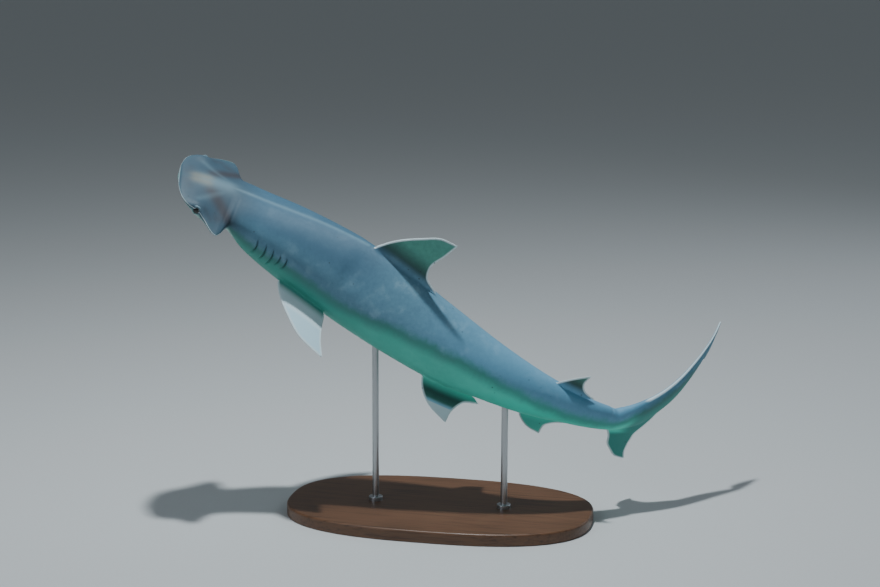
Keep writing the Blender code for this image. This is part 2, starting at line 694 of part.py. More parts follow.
def build_stand(grown_body):
    base = add_solid("stand_base", base_plate(), material("pale_base", (0.60, 0.58, 0.54), 0.5))
    steel = material("brushed_steel", (0.55, 0.55, 0.56), 0.3)
    for station, word in ((FRONT_ROD_STATION, "front"), (REAR_ROD_STATION, "rear")):
        x, y, z = bend(station, 0.0, 0.0)
        floor = BASE_THICKNESS - SOCKET_DEPTH
        hole = upright_round((x, y), ROD_RADIUS + GAP, floor, 2 * BASE_THICKNESS, ROD_SIDES)
        combine(base, add_solid(f"cutter_rod_hole_{word}", hole), "DIFFERENCE")
        bar = upright_round((x, y), ROD_RADIUS, floor + GAP, z, ROD_SIDES)
        rod = add_solid(f"stand_rod_{word}", bar, steel)
        combine(rod, grown_body, "DIFFERENCE")


def build():
    clear_scene()
    body = build_body()
    cut_gills(body["gill_section"])
    shape_face(body["head"])
    grown_body = add_solid("cutter_body", body_length(0.0, 1.0, GAP))
    build_fins(grown_body)
    build_stand(grown_body)


build()
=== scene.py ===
"""The looks of a life-size bonnethead shark, swimming up and aside over a plain display stand.

The skin is drawn on the straight fish first, as the solids are. A place on it is given by its
station s back from the snout, y out to its left and z up. bend() puts it on the curved spine
and lays it over the stand. Fins, lids and skin are then joined and smoothed into one piece.
Units are metres.
"""

import math

import bpy
import numpy as np
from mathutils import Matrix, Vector
from mathutils.kdtree import KDTree


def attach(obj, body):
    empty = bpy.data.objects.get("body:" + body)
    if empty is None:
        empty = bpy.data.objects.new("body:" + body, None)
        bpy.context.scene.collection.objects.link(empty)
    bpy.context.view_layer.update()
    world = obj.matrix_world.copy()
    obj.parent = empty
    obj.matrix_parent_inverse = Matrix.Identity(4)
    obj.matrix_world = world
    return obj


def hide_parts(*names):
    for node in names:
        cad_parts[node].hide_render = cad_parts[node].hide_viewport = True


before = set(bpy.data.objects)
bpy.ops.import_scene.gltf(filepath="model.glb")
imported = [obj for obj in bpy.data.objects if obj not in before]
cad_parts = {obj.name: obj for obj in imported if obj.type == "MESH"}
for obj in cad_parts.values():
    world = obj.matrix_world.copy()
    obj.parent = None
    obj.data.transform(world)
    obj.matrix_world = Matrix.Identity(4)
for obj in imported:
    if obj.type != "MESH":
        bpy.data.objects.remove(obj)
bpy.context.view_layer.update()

FLESH = (
    "head", "gill_section", "torso", "hind_trunk", "tail_stalk", "tail_fin_upper",
    "tail_fin_lower", "first_dorsal_fin", "second_dorsal_fin", "anal_fin",
    "pectoral_fin_left", "pectoral_fin_right", "pelvic_fin_left", "pelvic_fin_right",
)
SIDES = ((1, "left"), (-1, "right"))
TINY = 1e-12  # keeps a division from zero
EXP_LIMIT = 40  # keeps an exponential from overflowing

# Pose of the fish, as in the solids. Each turn of the spine lies between two stations, and
# those of the head start full and run out aft.
HEAD_TURNS = ((math.radians(5), 0.0, 0.09), (math.radians(21.5), 0.02, 0.34))
TAIL_TURNS = (
    (math.radians(41.0), 0.48, 0.8),
    (math.radians(40.4), 0.692, 0.965),
    (math.radians(12.1), 0.9, 1.0),
)
SNOUT_STRETCH = 0.16
STRETCH_SPAN = (0.0, 0.05)
FIN_ROLL = math.radians(13.9)
ROLL_SPAN = (0.72, 0.9)
PITCH = math.radians(33.9)
BANK = math.radians(17.8)
STILL_STATION = 0.38
AXIS_HEIGHT = 0.32
SPINE_STEPS = 2001

# The body's outline, as pairs of station and size
HALF_WIDTH = (
    (0.0, 0.0), (0.003, 0.0325), (0.008, 0.0488), (0.016, 0.059), (0.023, 0.063),
    (0.032, 0.0649), (0.045, 0.0757), (0.058, 0.087), (0.066, 0.092), (0.0725, 0.0938),
    (0.079, 0.0868), (0.0845, 0.071), (0.091, 0.0572), (0.1, 0.054), (0.11, 0.054),
    (0.16, 0.058), (0.2, 0.0602), (0.28, 0.0622), (0.36, 0.0605), (0.42, 0.0565),
    (0.48, 0.0492), (0.54, 0.0402), (0.6, 0.0312), (0.66, 0.0234), (0.7, 0.018),
    (0.74, 0.0136), (0.8, 0.0082), (0.88, 0.0048), (0.94, 0.003), (1.0, 0.0012),
)
BACK = (
    (0.0, 0.0), (0.003, 0.0072), (0.008, 0.0094), (0.02, 0.0124), (0.04, 0.0156),
    (0.07, 0.0195), (0.1, 0.0222), (0.13, 0.0248), (0.17, 0.0308), (0.21, 0.0385),
    (0.25, 0.0455), (0.295, 0.0525), (0.33, 0.055), (0.37, 0.053), (0.41, 0.049),
    (0.45, 0.0455), (0.5, 0.042), (0.57, 0.0392), (0.61, 0.037), (0.65, 0.0335),
    (0.7, 0.0272), (0.735, 0.0232), (0.746, 0.0205), (0.757, 0.0255), (0.8, 0.0455),
    (0.88, 0.0776), (0.94, 0.1068), (1.0, 0.1187),
)
BELLY = (
    (0.0, 0.0), (0.003, 0.0004), (0.008, -0.0024), (0.02, -0.0095), (0.045, -0.0205),
    (0.07, -0.031), (0.095, -0.038), (0.13, -0.0588), (0.17, -0.0705), (0.21, -0.0775),
    (0.26, -0.0812), (0.31, -0.0822), (0.36, -0.08), (0.42, -0.0755), (0.47, -0.0705),
    (0.51, -0.0615), (0.55, -0.05), (0.6, -0.0388), (0.64, -0.03), (0.67, -0.0235),
    (0.71, -0.0205), (0.745, -0.0182), (0.8, -0.0083), (0.83, 0.0092), (0.88, 0.0356),
    (0.921, 0.0722), (0.933, 0.085), (0.944, 0.0745), (0.97, 0.088), (1.0, 0.1172),
)
FLANK = (
    (0.0, 0.0045), (0.023, 0.005), (0.045, 0.0015), (0.069, -0.0036), (0.09, -0.0046),
    (0.13, -0.013), (0.2, -0.0195), (0.3, -0.022), (0.41, -0.019), (0.49, -0.012),
    (0.57, -0.004), (0.67, 0.002), (0.745, 0.003), (0.8, 0.027), (0.88, 0.064),
    (0.94, 0.096), (1.0, 0.118),
)
DOME = ((0.0, 0.1), (0.02, 0.5), (0.078, 0.66), (0.094, 0.2), (0.125, 0.0), (1.0, 0.0))
DOME_WIDTH = 0.042
THIN = ((0.0, 1.0), (0.02, 1.15), (0.05, 1.3), (0.08, 1.4), (0.1, 1.0), (1.0, 1.0))
BLUNT = ((0.0, 1.0), (0.012, 0.75), (0.0325, 0.45), (0.055, 0.75), (0.09, 1.0), (1.0, 1.0))
RIDGE = (
    (0.0, 0.0), (0.17, 0.0), (0.21, 0.1), (0.27, 0.22), (0.3, 0.38), (0.38, 0.35),
    (0.5, 0.1), (0.6, 0.0), (1.0, 0.0),
)
RIDGE_ROUND = 0.15
ORBIT_SWELL = (0.0056, 0.0056)
ORBIT_REACH = 0.0135

# How far apart the skin's rings stand at each station
RING_SPACING = (
    (0.0, 0.0004), (0.004, 0.0007), (0.02, 0.0009), (0.115, 0.001), (0.128, 0.0006),
    (0.2, 0.0006), (0.22, 0.0019), (0.7, 0.0019), (0.735, 0.0008), (0.76, 0.001),
    (0.8, 0.0019), (0.9, 0.0016), (0.92, 0.0007), (0.95, 0.0008), (1.0, 0.0016),
)
RING_QUARTER = 44  # points from the back's middle line to the flank line
MARGIN_CROWDING = 0.01  # metres that a full radian of turn counts for in spacing points
STATION_STEPS = 8001
ANGLE_STEPS = 240
SNOUT_LEVEL = 0.0045

# Face
EYE_STATION = 0.0318
EYE_OUT = 0.0608
EYE_LEVEL = 0.0026
EYE_FACING = (-0.3, 0.95, 0.08)
EYE_RADIUS = 0.0066
EYE_DEPTH = 0.0052
EYE_GAP = 0.0003
EYE_SIDES = 64
PUPIL_RADIUS = 0.0039
IRIS_RADIUS = 0.0047
IRIS_FLECK = 0.0004
LID_RADIUS = 0.0013
LID_RING = 0.006
LID_OUT = 0.0031
LID_PALENESS = 0.4
MOUTH_FRONT = 0.078
MOUTH_LENGTH = 0.034
MOUTH_HALF_WIDTH = 0.034
MOUTH_BOW = 2.2  # the higher, the flatter the middle of the arch
MOUTH_CORNER = (0.86, 1.0)  # shares of the way to the corner where the line grows shallow
CORNER_LOSS = 0.7
NOSTRIL_INNER = (0.0125, 0.042)
NOSTRIL_OUTER = (0.0175, 0.052)
NOSTRIL_BOW = 1.3
FACE_END = 0.13  # mouth and nostrils lie ahead of it

# Carving: height over the skin, distance of its middle from its line, and reach. For the pit
# the middle is a station.
MOUTH_GROOVE = (-0.002, 0.0, 0.0011)
LOWER_LIP = (0.0011, 0.0034, 0.0022)
UPPER_LIP = (0.0005, 0.0026, 0.0018)
NOSTRIL_SLIT = (-0.0026, 0.0, 0.0011)
NOSTRIL_RIM = (0.0006, 0.0022, 0.0011)
NOSTRIL_FLAP = (0.0016, 0.0, 0.0016)
FLAP_MIDDLE = (1.0, 0.35, 0.16)  # in shares of the nostril
GILL_FLAP = (0.001, 0.0, 0.005)
GILL_SLIT = (-0.003, 0.0, 0.0024)
TAIL_PIT = (-0.0014, 0.7375, 0.0022)
PIT_MIDDLE = (1.0, math.pi / 2, 0.55)  # in radians round the tail stalk

# Gill slits
GILL_STATIONS = (0.141, 0.157, 0.171, 0.184, 0.196)
GILL_TOP_ANGLE = math.radians(14)
GILL_BOTTOM_ANGLE = math.radians(-22)
LAST_GILL_BOTTOM = math.radians(-9)
LOW_GILLS = 3  # the slits ahead of the pectoral fin, which reach farther down
GILL_BOW = 0.003
GILL_ENDS = 0.4  # below one, so that a slit keeps its depth nearly to its ends
GILL_LIP = 0.00022  # over which the flap's free edge drops into the slit

# Fins: the outline's leading edge, trailing edge and base between the two, and half thickness
UPRIGHT_FINS = {
    "first_dorsal_fin": (
        ((0.286, 0.034), (0.319, 0.084), (0.352, 0.1165), (0.3775, 0.1355), (0.3995, 0.14)),
        ((0.412, 0.0515), (0.3885, 0.066), (0.3845, 0.083), (0.3935, 0.113), (0.4005, 0.1385)),
        ((0.335, 0.04), (0.384, 0.047)),
        0.0042,
    ),
    "second_dorsal_fin": (
        ((0.622, 0.024), (0.64, 0.045), (0.654, 0.0585), (0.67, 0.0705)),
        ((0.698, 0.0318), (0.6755, 0.043), (0.669, 0.056), (0.671, 0.0695)),
        ((0.645, 0.025), (0.67, 0.027)),
        0.0022,
    ),
    "anal_fin": (
        ((0.6, -0.026), (0.618, -0.05), (0.638, -0.061), (0.656, -0.0635)),
        ((0.69, -0.025), (0.666, -0.0355), (0.656, -0.048), (0.6575, -0.0625)),
        ((0.628, -0.02), (0.662, -0.019)),
        0.0022,
    ),
    "tail_fin_lower": (
        (
            (0.737, -0.006), (0.76, -0.031), (0.769, -0.0487), (0.7825, -0.062),
            (0.7965, -0.073), (0.8165, -0.0785),
        ),
        (
            (0.842, 0.015), (0.829, -0.002), (0.8165, -0.017), (0.8085, -0.03),
            (0.8085, -0.0445), (0.8105, -0.061), (0.8175, -0.077),
        ),
        ((0.775, 0.002), (0.81, 0.01)),
        0.003,
    ),
}
# Paired fins: root, droop, then an outline as distance back and distance out from the root
PAIRED_FINS = {
    "pectoral_fin": (
        (0.205, 0.05, -0.055),
        math.radians(16),
        ((-0.012, -0.018), (0.0065, 0.017), (0.033, 0.044), (0.07, 0.07), (0.1085, 0.08)),
        ((0.0835, 0.014), (0.0885, 0.033), (0.0965, 0.054), (0.11, 0.0785)),
        ((0.022, -0.024), (0.058, -0.016)),
        0.004,
    ),
    "pelvic_fin": (
        (0.463, 0.024, -0.058),
        math.radians(33),
        ((-0.008, -0.008), (0.011, 0.0225), (0.038, 0.0395), (0.068, 0.045)),
        ((0.093, -0.009), (0.073, 0.005), (0.067, 0.028), (0.0695, 0.044)),
        ((0.022, -0.014), (0.06, -0.018)),
        0.0024,
    ),
}
FIN_ROWS = 60
FIN_COLUMNS = 64
FIN_EDGE = 0.0003
ROW_CROWDING = 0.9  # less than one moves rows toward the tip
FOIL_FULLNESS = 2.6  # brings the thickest place to nine tenths of the half thickness
FOIL_TAPER = 0.35
TIP_TAPER = 0.75
ROOT_FLARE = 0.9
ROOT_SPREAD = 6  # how fast the flare dies away from the root
RIM_POINTS = 160

# Where fins and lids grow from the body: the reach, passes and pull of the smoothing
LARGE_FILLET = 0.006
SMALL_FILLET = 0.0035
LID_FILLET = 0.0016
FILLET_PASSES = 14
FILLET_PULL = 0.7

# Stand
FRONT_ROD_STATION = 0.33
REAR_ROD_STATION = 0.565
ROD_RADIUS = 0.005
ROD_FOOT = 0.012
COLLAR_RADIUS = 0.0105
COLLAR_HEIGHT = 0.006
COLLAR_ROUND = 0.0012
BASE_LENGTH = 0.46
BASE_WIDTH = 0.27
BASE_THICKNESS = 0.018
BASE_SQUARENESS = 2.6  # two would be an oval
BASE_ROUND = 0.003
BASE_SIDES = 192
ROD_SIDES = 48
SHARP_ANGLE = math.radians(40)
# Sizes along X, Y and Z of a streak of the walnut's grain and of a brush stroke on the steel
GRAIN = (0.12, 0.0035, 0.0035)
BRUSH_STROKE = (0.01, 0.01, 0.0004)  # a real one is under 0.1 mm high, drawn coarser to show

# Where the back's colour ends on the flank: station and height
SHADE_LINE = (
    (0.0, 0.0015), (0.03, -0.001), (0.07, -0.006), (0.1, -0.0105), (0.142, -0.014),
    (0.2, -0.0145), (0.265, -0.016), (0.3, -0.017), (0.35, -0.01), (0.4, 0.001),
    (0.45, 0.0075), (0.51, 0.0145), (0.58, 0.0155), (0.64, 0.0115), (0.69, 0.009),
    (0.746, 0.008), (0.768, 0.02), (0.804, 0.039), (0.853, 0.059), (0.9, 0.077),
    (1.0, 0.112),
)
# Painted shade and painted highlights on the head and neck: from and to, as station and distance
# out, reach and strength
HEAD_MARKS = {
    # painted shade: the valley between the head's dome and lobes, and at the neck, snout and eye
    "dusk": (
        ((0.046, 0.02), (0.083, 0.056), 0.0125, 0.75),
        ((0.066, 0.064), (0.09, 0.05), 0.0115, 0.42),
        ((0.009, 0.01), (0.014, 0.022), 0.008, 0.3),
        ((0.044, 0.062), (0.056, 0.072), 0.007, 0.35),
    ),
    # painted highlights: the ridge line over the far orbit, the dome's top and a bright line along
    # the back's middle
    "pale": (
        ((0.03, 0.044), (0.076, 0.006), 0.007, 0.22),
        ((0.036, 0.000), (0.07, 0.000), 0.019, 0.36),
        ((0.066, 0.000), (0.29, 0.000), 0.005, 0.34),
    ),
    # a painted highlight, warm in tone, on the middle of the head
    "warm": (((0.022, 0.004), (0.038, 0.005), 0.011, 0.4),),
}
# The darker crown of the front, partly the back's own darker midline and partly painted shade:
# shares of the way up a section, and the stations where it ends
CROWN_RISE = (0.35, 0.9)
CROWN_END = (0.26, 0.4)
# The white underside: shares of the way down a section, under the head and behind it, the
# stations where the head's gives way to the strip, and those where the strip fades
WHITE_HEAD = (0.05, 0.35)
WHITE_STRIP = (0.55, 1.05)
HEAD_END = (0.08, 0.12)
WHITE_FADE = (0.38, 0.5)
WHITE_LOSS = 0.85
# The pale rim of the head's margin and of the tail blade, a painted highlight along the edges that
# catch the light
HEAD_RIM_END = 0.088  # the last station with a rim on the head
HEAD_RIM_SLOPE = 1.4  # how much a height counts against a width
UNDER_RIM = 0.004  # added below the head, so that the rim's colour stops there
RIM_INSET = 0.0012  # added everywhere, so that a rim is narrower than a fin's
BARE_RIM = 0.05  # a distance that is past every rim
TAIL_BLADE = (0.757, 0.8)
LOWER_LOBE_END = (0.825, 0.85)
COVERED_RIM = 0.01  # added where the tail stalk or the lower lobe covers an edge
# How pale each fin's faces are, as pairs of way out from the body and share, with white past one.
# The pelvic fin's pale tip is painted light, and so is the pectoral fin's white near its root,
# over the body's shadow
FIN_PALENESS = {
    "first": ((0.0, 0.0), (0.03, 0.0), (0.08, 0.1)),
    "second": ((0.0, 0.0), (0.01, 0.0), (0.03, 0.1)),
    "anal": ((0.0, 0.0), (0.01, 0.25)),
    "tail": ((0.0, 0.0), (0.01, 0.0)),
    "pectoral": ((0.0, 0.0), (0.006, 1.3), (0.018, 1.3), (0.034, 1.15)),
    "pelvic": ((0.0, 0.0), (0.022, 0.0), (0.031, 1.3)),
}
# How far out from the body a fin takes its own colours, and loses the white underside
FIN_CLEAR = (0.001, 0.016)
WHITE_CLEAR = (0.0, 0.005)
ANAL_FIN_SHARE = 0.4

# How much higher or lower the back's colour ends from place to place
SHADE_WANDER = 0.014
SHADE_FRAY = 0.006
# Sizes of the skin's patterns
CLOUD_SIZE = 0.026
MOTTLE_SIZE = 0.006
SPECK_SPACING = 0.022
SPECK_RADIUS = 0.0018
FIN_RAYS = 26  # across a fin from front to back
DENTICLE = 0.0011  # real ones are 0.3 mm, drawn coarser so that they show as a fine grain
# Paintwork: two paints worked into each other by a pattern, then coats over them. A coat is its
# colour, the pattern it follows, that pattern where it is bare and where full, and its strength.
BELLY_PAINT = (
    ("cloud", "#38AD99", "#60CCB8"),
    ("#257A6E", "station", 0.46, 0.24, 0.7),
    ("#46EACF", "station", 0.46, 0.62, 0.8),
    ("#287C74", "tail_share", 0.0, 1.0, 0.75),
    # painted shade: a darker band just under the back's colour, where the flank turns away from
    # the light above
    ("#3C6869", "height", -0.024, -0.004, 0.65),
    ("#B4DACF", "under", 0.0, 1.0, 0.8),
)
BACK_PAINT = (
    ("mottle", "#4E7A90", "#6898AE"),
    ("#98BFCF", "cloud", 0.5, 0.76, 0.4),
    ("#34586E", "cloud", 0.46, 0.28, 0.25),
    ("#6AADD0", "station", 0.36, 0.6, 0.6),
    # painted shade: the front of the back darker, against the light that falls on it from above
    ("#3B667C", "station", 0.37, 0.22, 0.35),
    # partly painted shade: the front's top darker, over the back's own darker midline
    ("#28506A", "crown", 0.0, 1.0, 0.62),
    # painted shade: the head darker, where its top faces the light above
    ("#334C5B", "station", 0.135, 0.07, 0.88),
    # painted shade on the head's valleys and neck
    ("#35343B", "dusk", 0.0, 1.0, 1.0),
    # painted highlights on the head and along the back's middle, and the lids' pale rims
    ("#93B8C6", "pale", 0.0, 1.0, 1.0),
    ("#9A8F70", "warm", 0.0, 1.0, 1.0),
)
# Heights between which the belly's colour turns into the back's
BORDER = {"From Min": -0.008, "From Max": 0.007}
FIN_PAINT = (
    ("mottle", "#468779", "#5BAA98"),
    # painted shade: fins darker near the body, where it shades their roots
    ("#182D31", "fin_out", 0.045, 0.01, 0.85),
    ("#93C9E0", "pale_fin", 0.0, 1.0, 1.0),
    # painted light: the white of the pelvic tip and of the pectoral root
    ("#E4F4F8", "pale_fin", 1.0, 1.3, 0.85),
)
LAST_COATS = (
    ("#1B5862", "tail_share", 0.0, 1.0, 0.28),
    # pale rims: a painted highlight on the head's margin and the tail blade's edges, and pale rims
    # on the other fins' edges
    ("#DDEEF2", "from_edge", 0.0034, 0.001, 0.9),
    # painted shade: darker in the gill slits, mouth, nostrils and tail pit
    ("#2E4648", "carved", -0.0008, -0.0022, 0.6),
    ("#202C33", "speck", SPECK_RADIUS / SPECK_SPACING, 0.0, 0.9),
)
PAINT_EDGE = 0.0002  # over which the eye's colours run into each other
EYE_PAINT = (
    ("fleck", "#3A464A", "#77827F"),
    ("#07080B", "off_axis", PUPIL_RADIUS + PAINT_EDGE, PUPIL_RADIUS, 1.0),
    ("#14181B", "off_axis", IRIS_RADIUS - PAINT_EDGE, IRIS_RADIUS, 1.0),
)
WALNUT_PAINT = (("tone", "#5A3D29", "#75523A"), ("#3A2618", "grain", 0.45, 0.68, 0.75))
FLOOR_PAINT = (("stipple", "#C6C9C9", "#CED0D0"),)
STEEL_COLOUR = "#B9BBBD"
# How rough each surface is, from and to where a pattern varies it
SKIN_ROUGHNESS = {"To Min": 0.68, "To Max": 0.56}
STEEL_ROUGHNESS = {"To Min": 0.22, "To Max": 0.42}
EYE_ROUGHNESS = 0.05
WALNUT_ROUGHNESS = 0.38
FLOOR_ROUGHNESS = 0.75
GLASS_INDEX = 1.52
# How strongly fine relief shows, and how deep it is
SKIN_RELIEF = {"Strength": 0.25, "Distance": 0.00025}
WALNUT_RELIEF = {"Strength": 0.2, "Distance": 0.0004}

# Studio: the lamps' name, place, width, power and colour
LAMPS = (
    ("key", (-0.12, -0.12, 2.4), 0.1, 50.0, "#F2FAFF"),
    ("fill", (-1.6, -2.4, 1.6), 1.6, 16.0, "#E8F2FF"),
    ("rim", (1.4, 2.0, 1.6), 1.2, 8.0, "#E8F2FF"),
)
LAMP_AIM = (0.0, 0.0, 0.33)
SKY_COLOUR = "#D6E2EA"
SKY_STRENGTH = 0.2
FLOOR_SIZE = 60.0
STIPPLE_SIZE = 0.004  # twice a real roller's, so that it shows

# Camera, as fitted to the photograph
CAMERA_AZIMUTH = math.radians(13.16)
CAMERA_ELEVATION = math.radians(12.0)
CAMERA_DISTANCE = 3.0
CAMERA_LENS = 83.2
CAMERA_SHIFT = (0.0425, 0.0131)


def through(points, at):
    """A smooth curve through the given pairs that never swings past them."""
    x, y = np.array(points, float).T
    step = np.diff(x)
    slope = np.diff(y) / step
    both = slope[:-1] * slope[1:]
    total = slope[:-1] + slope[1:]
    inner = np.where(both > 0, 2 * both / np.where(total == 0, 1, total), 0.0)
    tangent = np.concatenate([[slope[0]], inner, [slope[-1]]])
    at = np.clip(at, x[0], x[-1])
    k = np.clip(np.searchsorted(x, at) - 1, 0, len(step) - 1)
    t = (at - x[k]) / step[k]
    return (
        y[k] * (1 + 2 * t) * (1 - t) ** 2
        + y[k + 1] * t * t * (3 - 2 * t)
        + step[k] * (tangent[k] * t * (1 - t) ** 2 - tangent[k + 1] * t * t * (1 - t))
    )


def along_body(points, s):
    """A size at a station. Its curve runs in the root of s, so that the snout comes out round."""
    return through([(math.sqrt(a), b) for a, b in points], np.sqrt(s))


def eased(s, start, end):
    """A smooth rise from zero at the start to one at the end."""
    t = np.clip((s - start) / (end - start), 0, 1)
    return t * t * (3 - 2 * t)


def spine():
    """Stations, the spine's points and its turn at each, in the frame of the unturned fish."""
    s = np.linspace(0, 1, SPINE_STEPS)
    turn = np.zeros_like(s)
    for yaw, start, end in HEAD_TURNS:
        turn += yaw * (1 - eased(s, start, end))
    for yaw, start, end in TAIL_TURNS:
        turn += yaw * eased(s, start, end)
    back = np.stack([-np.cos(turn), -np.sin(turn)], 1)
    stretch = 1 + SNOUT_STRETCH * (1 - eased(s[1:], *STRETCH_SPAN))
    steps = (back[1:] + back[:-1]) / 2 * (s[1] - s[0]) * stretch[:, None]
    points = np.concatenate([[[0.0, 0.0]], np.cumsum(steps, 0)])
    still = [np.interp(STILL_STATION, s, points[:, i]) for i in range(2)]
    return s, points - still, turn


SPINE_S, SPINE_POINTS, SPINE_TURN = spine()


def frame_at(s):
    """The spine's point and its back, left and up directions at a station."""
    turn = np.interp(s, SPINE_S, SPINE_TURN)
    here = [np.interp(s, SPINE_S, SPINE_POINTS[:, i]) for i in range(2)]
    zero, one = np.zeros_like(turn), np.ones_like(turn)
    point = np.stack([here[0], here[1], zero], -1)
    back = np.stack([-np.cos(turn), -np.sin(turn), zero], -1)
    left = np.stack([-np.sin(turn), np.cos(turn), zero], -1)
    up = np.stack([zero, zero, one], -1)
    roll = FIN_ROLL * eased(s, *ROLL_SPAN)
    level, lean = np.cos(roll)[..., None], np.sin(roll)[..., None]
    return point, back, left * level + up * lean, up * level - left * lean


def world_axes():
    """World X, Y and Z as seen by the fish, whose own axes are forward, left and up."""
    level = math.cos(PITCH)
    up = np.array([math.sin(PITCH), -level * math.sin(BANK), level * math.cos(BANK)])
    forward = np.array([1.0, 0.0, 0.0]) - up * up[0]
    x = -forward / np.linalg.norm(forward)
    return np.stack([x, np.cross(up, x), up])


def stand_shift():
    """The base's middle lies under the middle between the rods, and the fish above it."""
    rods = np.array([frame_at(s)[0] for s in (FRONT_ROD_STATION, REAR_ROD_STATION)])
    middle = (rods @ world_axes().T).mean(0)
    return np.array([-middle[0], -middle[1], AXIS_HEIGHT])


STAND_SHIFT = stand_shift()


def to_world(points):
    return points @ world_axes().T + STAND_SHIFT


def bend(s, y, z):
    """World points for places on the straight fish."""
    s, y, z = np.broadcast_arrays(*(np.asarray(v, float) for v in (s, y, z)))
    point, _, left, up = frame_at(s)
    return to_world(point + left * y[..., None] + up * z[..., None])


def section(s, angle):
    """Out and up of the skin at station s and at an angle round it, zero at the left flank."""
    width = along_body(HALF_WIDTH, s)
    level = along_body(FLANK, s)
    top = along_body(BACK, s) - level
    bottom = along_body(BELLY, s) - level
    dome = along_body(DOME, s)
    ridge = along_body(RIDGE, s)
    across = np.abs(np.cos(angle)) ** along_body(BLUNT, s)
    y = width * np.sign(np.cos(angle)) * across
    rise = np.abs(np.sin(angle))
    lens = rise ** along_body(THIN, s)
    edge = np.exp(-((width / DOME_WIDTH) ** 2))
    hill = (np.exp(-((y / DOME_WIDTH) ** 2)) - edge) / np.maximum(1 - edge, TINY)
    peak = 1 - np.sqrt(across**2 + RIDGE_ROUND**2 * rise**2)
    upper = top * ((1 - dome - ridge) * lens + dome * hill + ridge * peak / (1 - RIDGE_ROUND))
    lower = bottom * ((1 - dome / 2) * lens + dome / 2 * hill)
    swell = np.sqrt(rise) * np.exp(
        -(((s - EYE_STATION) / ORBIT_REACH) ** 2) - ((np.abs(y) - EYE_OUT) / ORBIT_REACH) ** 2
    )
    above, below = ORBIT_SWELL
    return y, level + np.where(np.sin(angle) >= 0, upper + above * swell, lower - below * swell)


def ring_stations():
    s = np.linspace(0, 1, STATION_STEPS)
    count = np.concatenate([[0], np.cumsum(np.diff(s) / through(RING_SPACING, s[1:]))])
    return np.interp(np.arange(0.5, count[-1]), count, s)


def even_angles(s, count):
    """Angles from the flank line to the middle line that space a ring's points evenly."""
    share = np.linspace(0, 1, ANGLE_STEPS)
    crowded = np.arccos(share ** (1 / float(along_body(BLUNT, s))))
    angle = np.unique(np.concatenate([share * math.pi / 2, crowded]))
    both = []
    for sign in (1, -1):
        y, z = section(s, sign * angle)
        run = np.hypot(np.diff(y), np.diff(z)) + MARGIN_CROWDING * np.diff(angle)
        run = np.concatenate([[0], np.cumsum(run)])
        both.append(np.interp(np.linspace(0, run[-1], count + 1), run, angle))
    return np.concatenate([both[0][::-1], -both[1][1:]])


def mouth_line(count=81):
    """Station and distance out of the mouth's arch, from its middle to a corner."""
    share = np.linspace(0, 1, count)
    s = MOUTH_FRONT + MOUTH_LENGTH * share**MOUTH_BOW
    return np.stack([s, MOUTH_HALF_WIDTH * np.sin(share * math.pi / 2)], -1)


def nostril_line(count=31):
    """Station and distance out of a nostril, from its inner end to its outer one."""
    share = np.linspace(0, 1, count)
    s = NOSTRIL_INNER[0] + (NOSTRIL_OUTER[0] - NOSTRIL_INNER[0]) * share**NOSTRIL_BOW
    return np.stack([s, NOSTRIL_INNER[1] + (NOSTRIL_OUTER[1] - NOSTRIL_INNER[1]) * share], -1)


def distance_to(line, s, y):
    """The distance to a line on the straight fish, and the place of the nearest point on it."""
    gap = np.hypot(s[..., None] - line[:, 0], y[..., None] - line[:, 1])
    return gap.min(-1), gap.argmin(-1) / (len(line) - 1)


def carved(shape, away):
    """The height of a soft ridge or groove at a distance from its line."""
    height, middle, reach = shape
    return height * np.exp(-(((away - middle) / reach) ** 2))


def gill_relief(s, angle):
    """Each slit is an overlapping flap: the skin rises to its free edge, then drops inward."""
    relief = np.zeros_like(s)
    for i, station in enumerate(GILL_STATIONS):
        bottom = GILL_BOTTOM_ANGLE if i < LOW_GILLS else LAST_GILL_BOTTOM
        share = 2 * (angle - GILL_TOP_ANGLE) / (bottom - GILL_TOP_ANGLE) - 1
        past = s - station - GILL_BOW * (1 - share**2)
        body = np.clip(1 - share**2, 0, 1) ** GILL_ENDS
        over = 1 / (1 + np.exp(-np.clip(past / GILL_LIP, -EXP_LIMIT, EXP_LIMIT)))
        relief += body * (carved(GILL_FLAP, past) * (1 - over) + carved(GILL_SLIT, past) * over)
    return relief


def mouth_relief(s, y, angle):
    """The arched line of the mouth with a full lower lip behind it and a thin upper one."""
    line = mouth_line()
    away, share = distance_to(line, s, y)
    front = line[:, 0][(share * (len(line) - 1)).astype(int)]
    lip = np.where(s > front, carved(LOWER_LIP, away), carved(UPPER_LIP, away))
    fade = 1 - CORNER_LOSS * eased(share, *MOUTH_CORNER)
    return np.where(angle < 0, fade * (carved(MOUTH_GROOVE, away) + lip), 0.0)


def nostril_relief(s, y, angle):
    """A slit under the front margin, with a small flap of skin over its middle."""
    away, share = distance_to(nostril_line(), s, y)
    flap = carved(NOSTRIL_FLAP, away) * carved(FLAP_MIDDLE, share)
    slit = carved(NOSTRIL_SLIT, away) + carved(NOSTRIL_RIM, away)
    return np.where(angle < 0, slit + flap, 0.0)


def tail_pit_relief(s, angle):
    """The small crosswise pit on top of the tail stalk, just ahead of the fin."""
    return carved(TAIL_PIT, s) * carved(PIT_MIDDLE, angle)


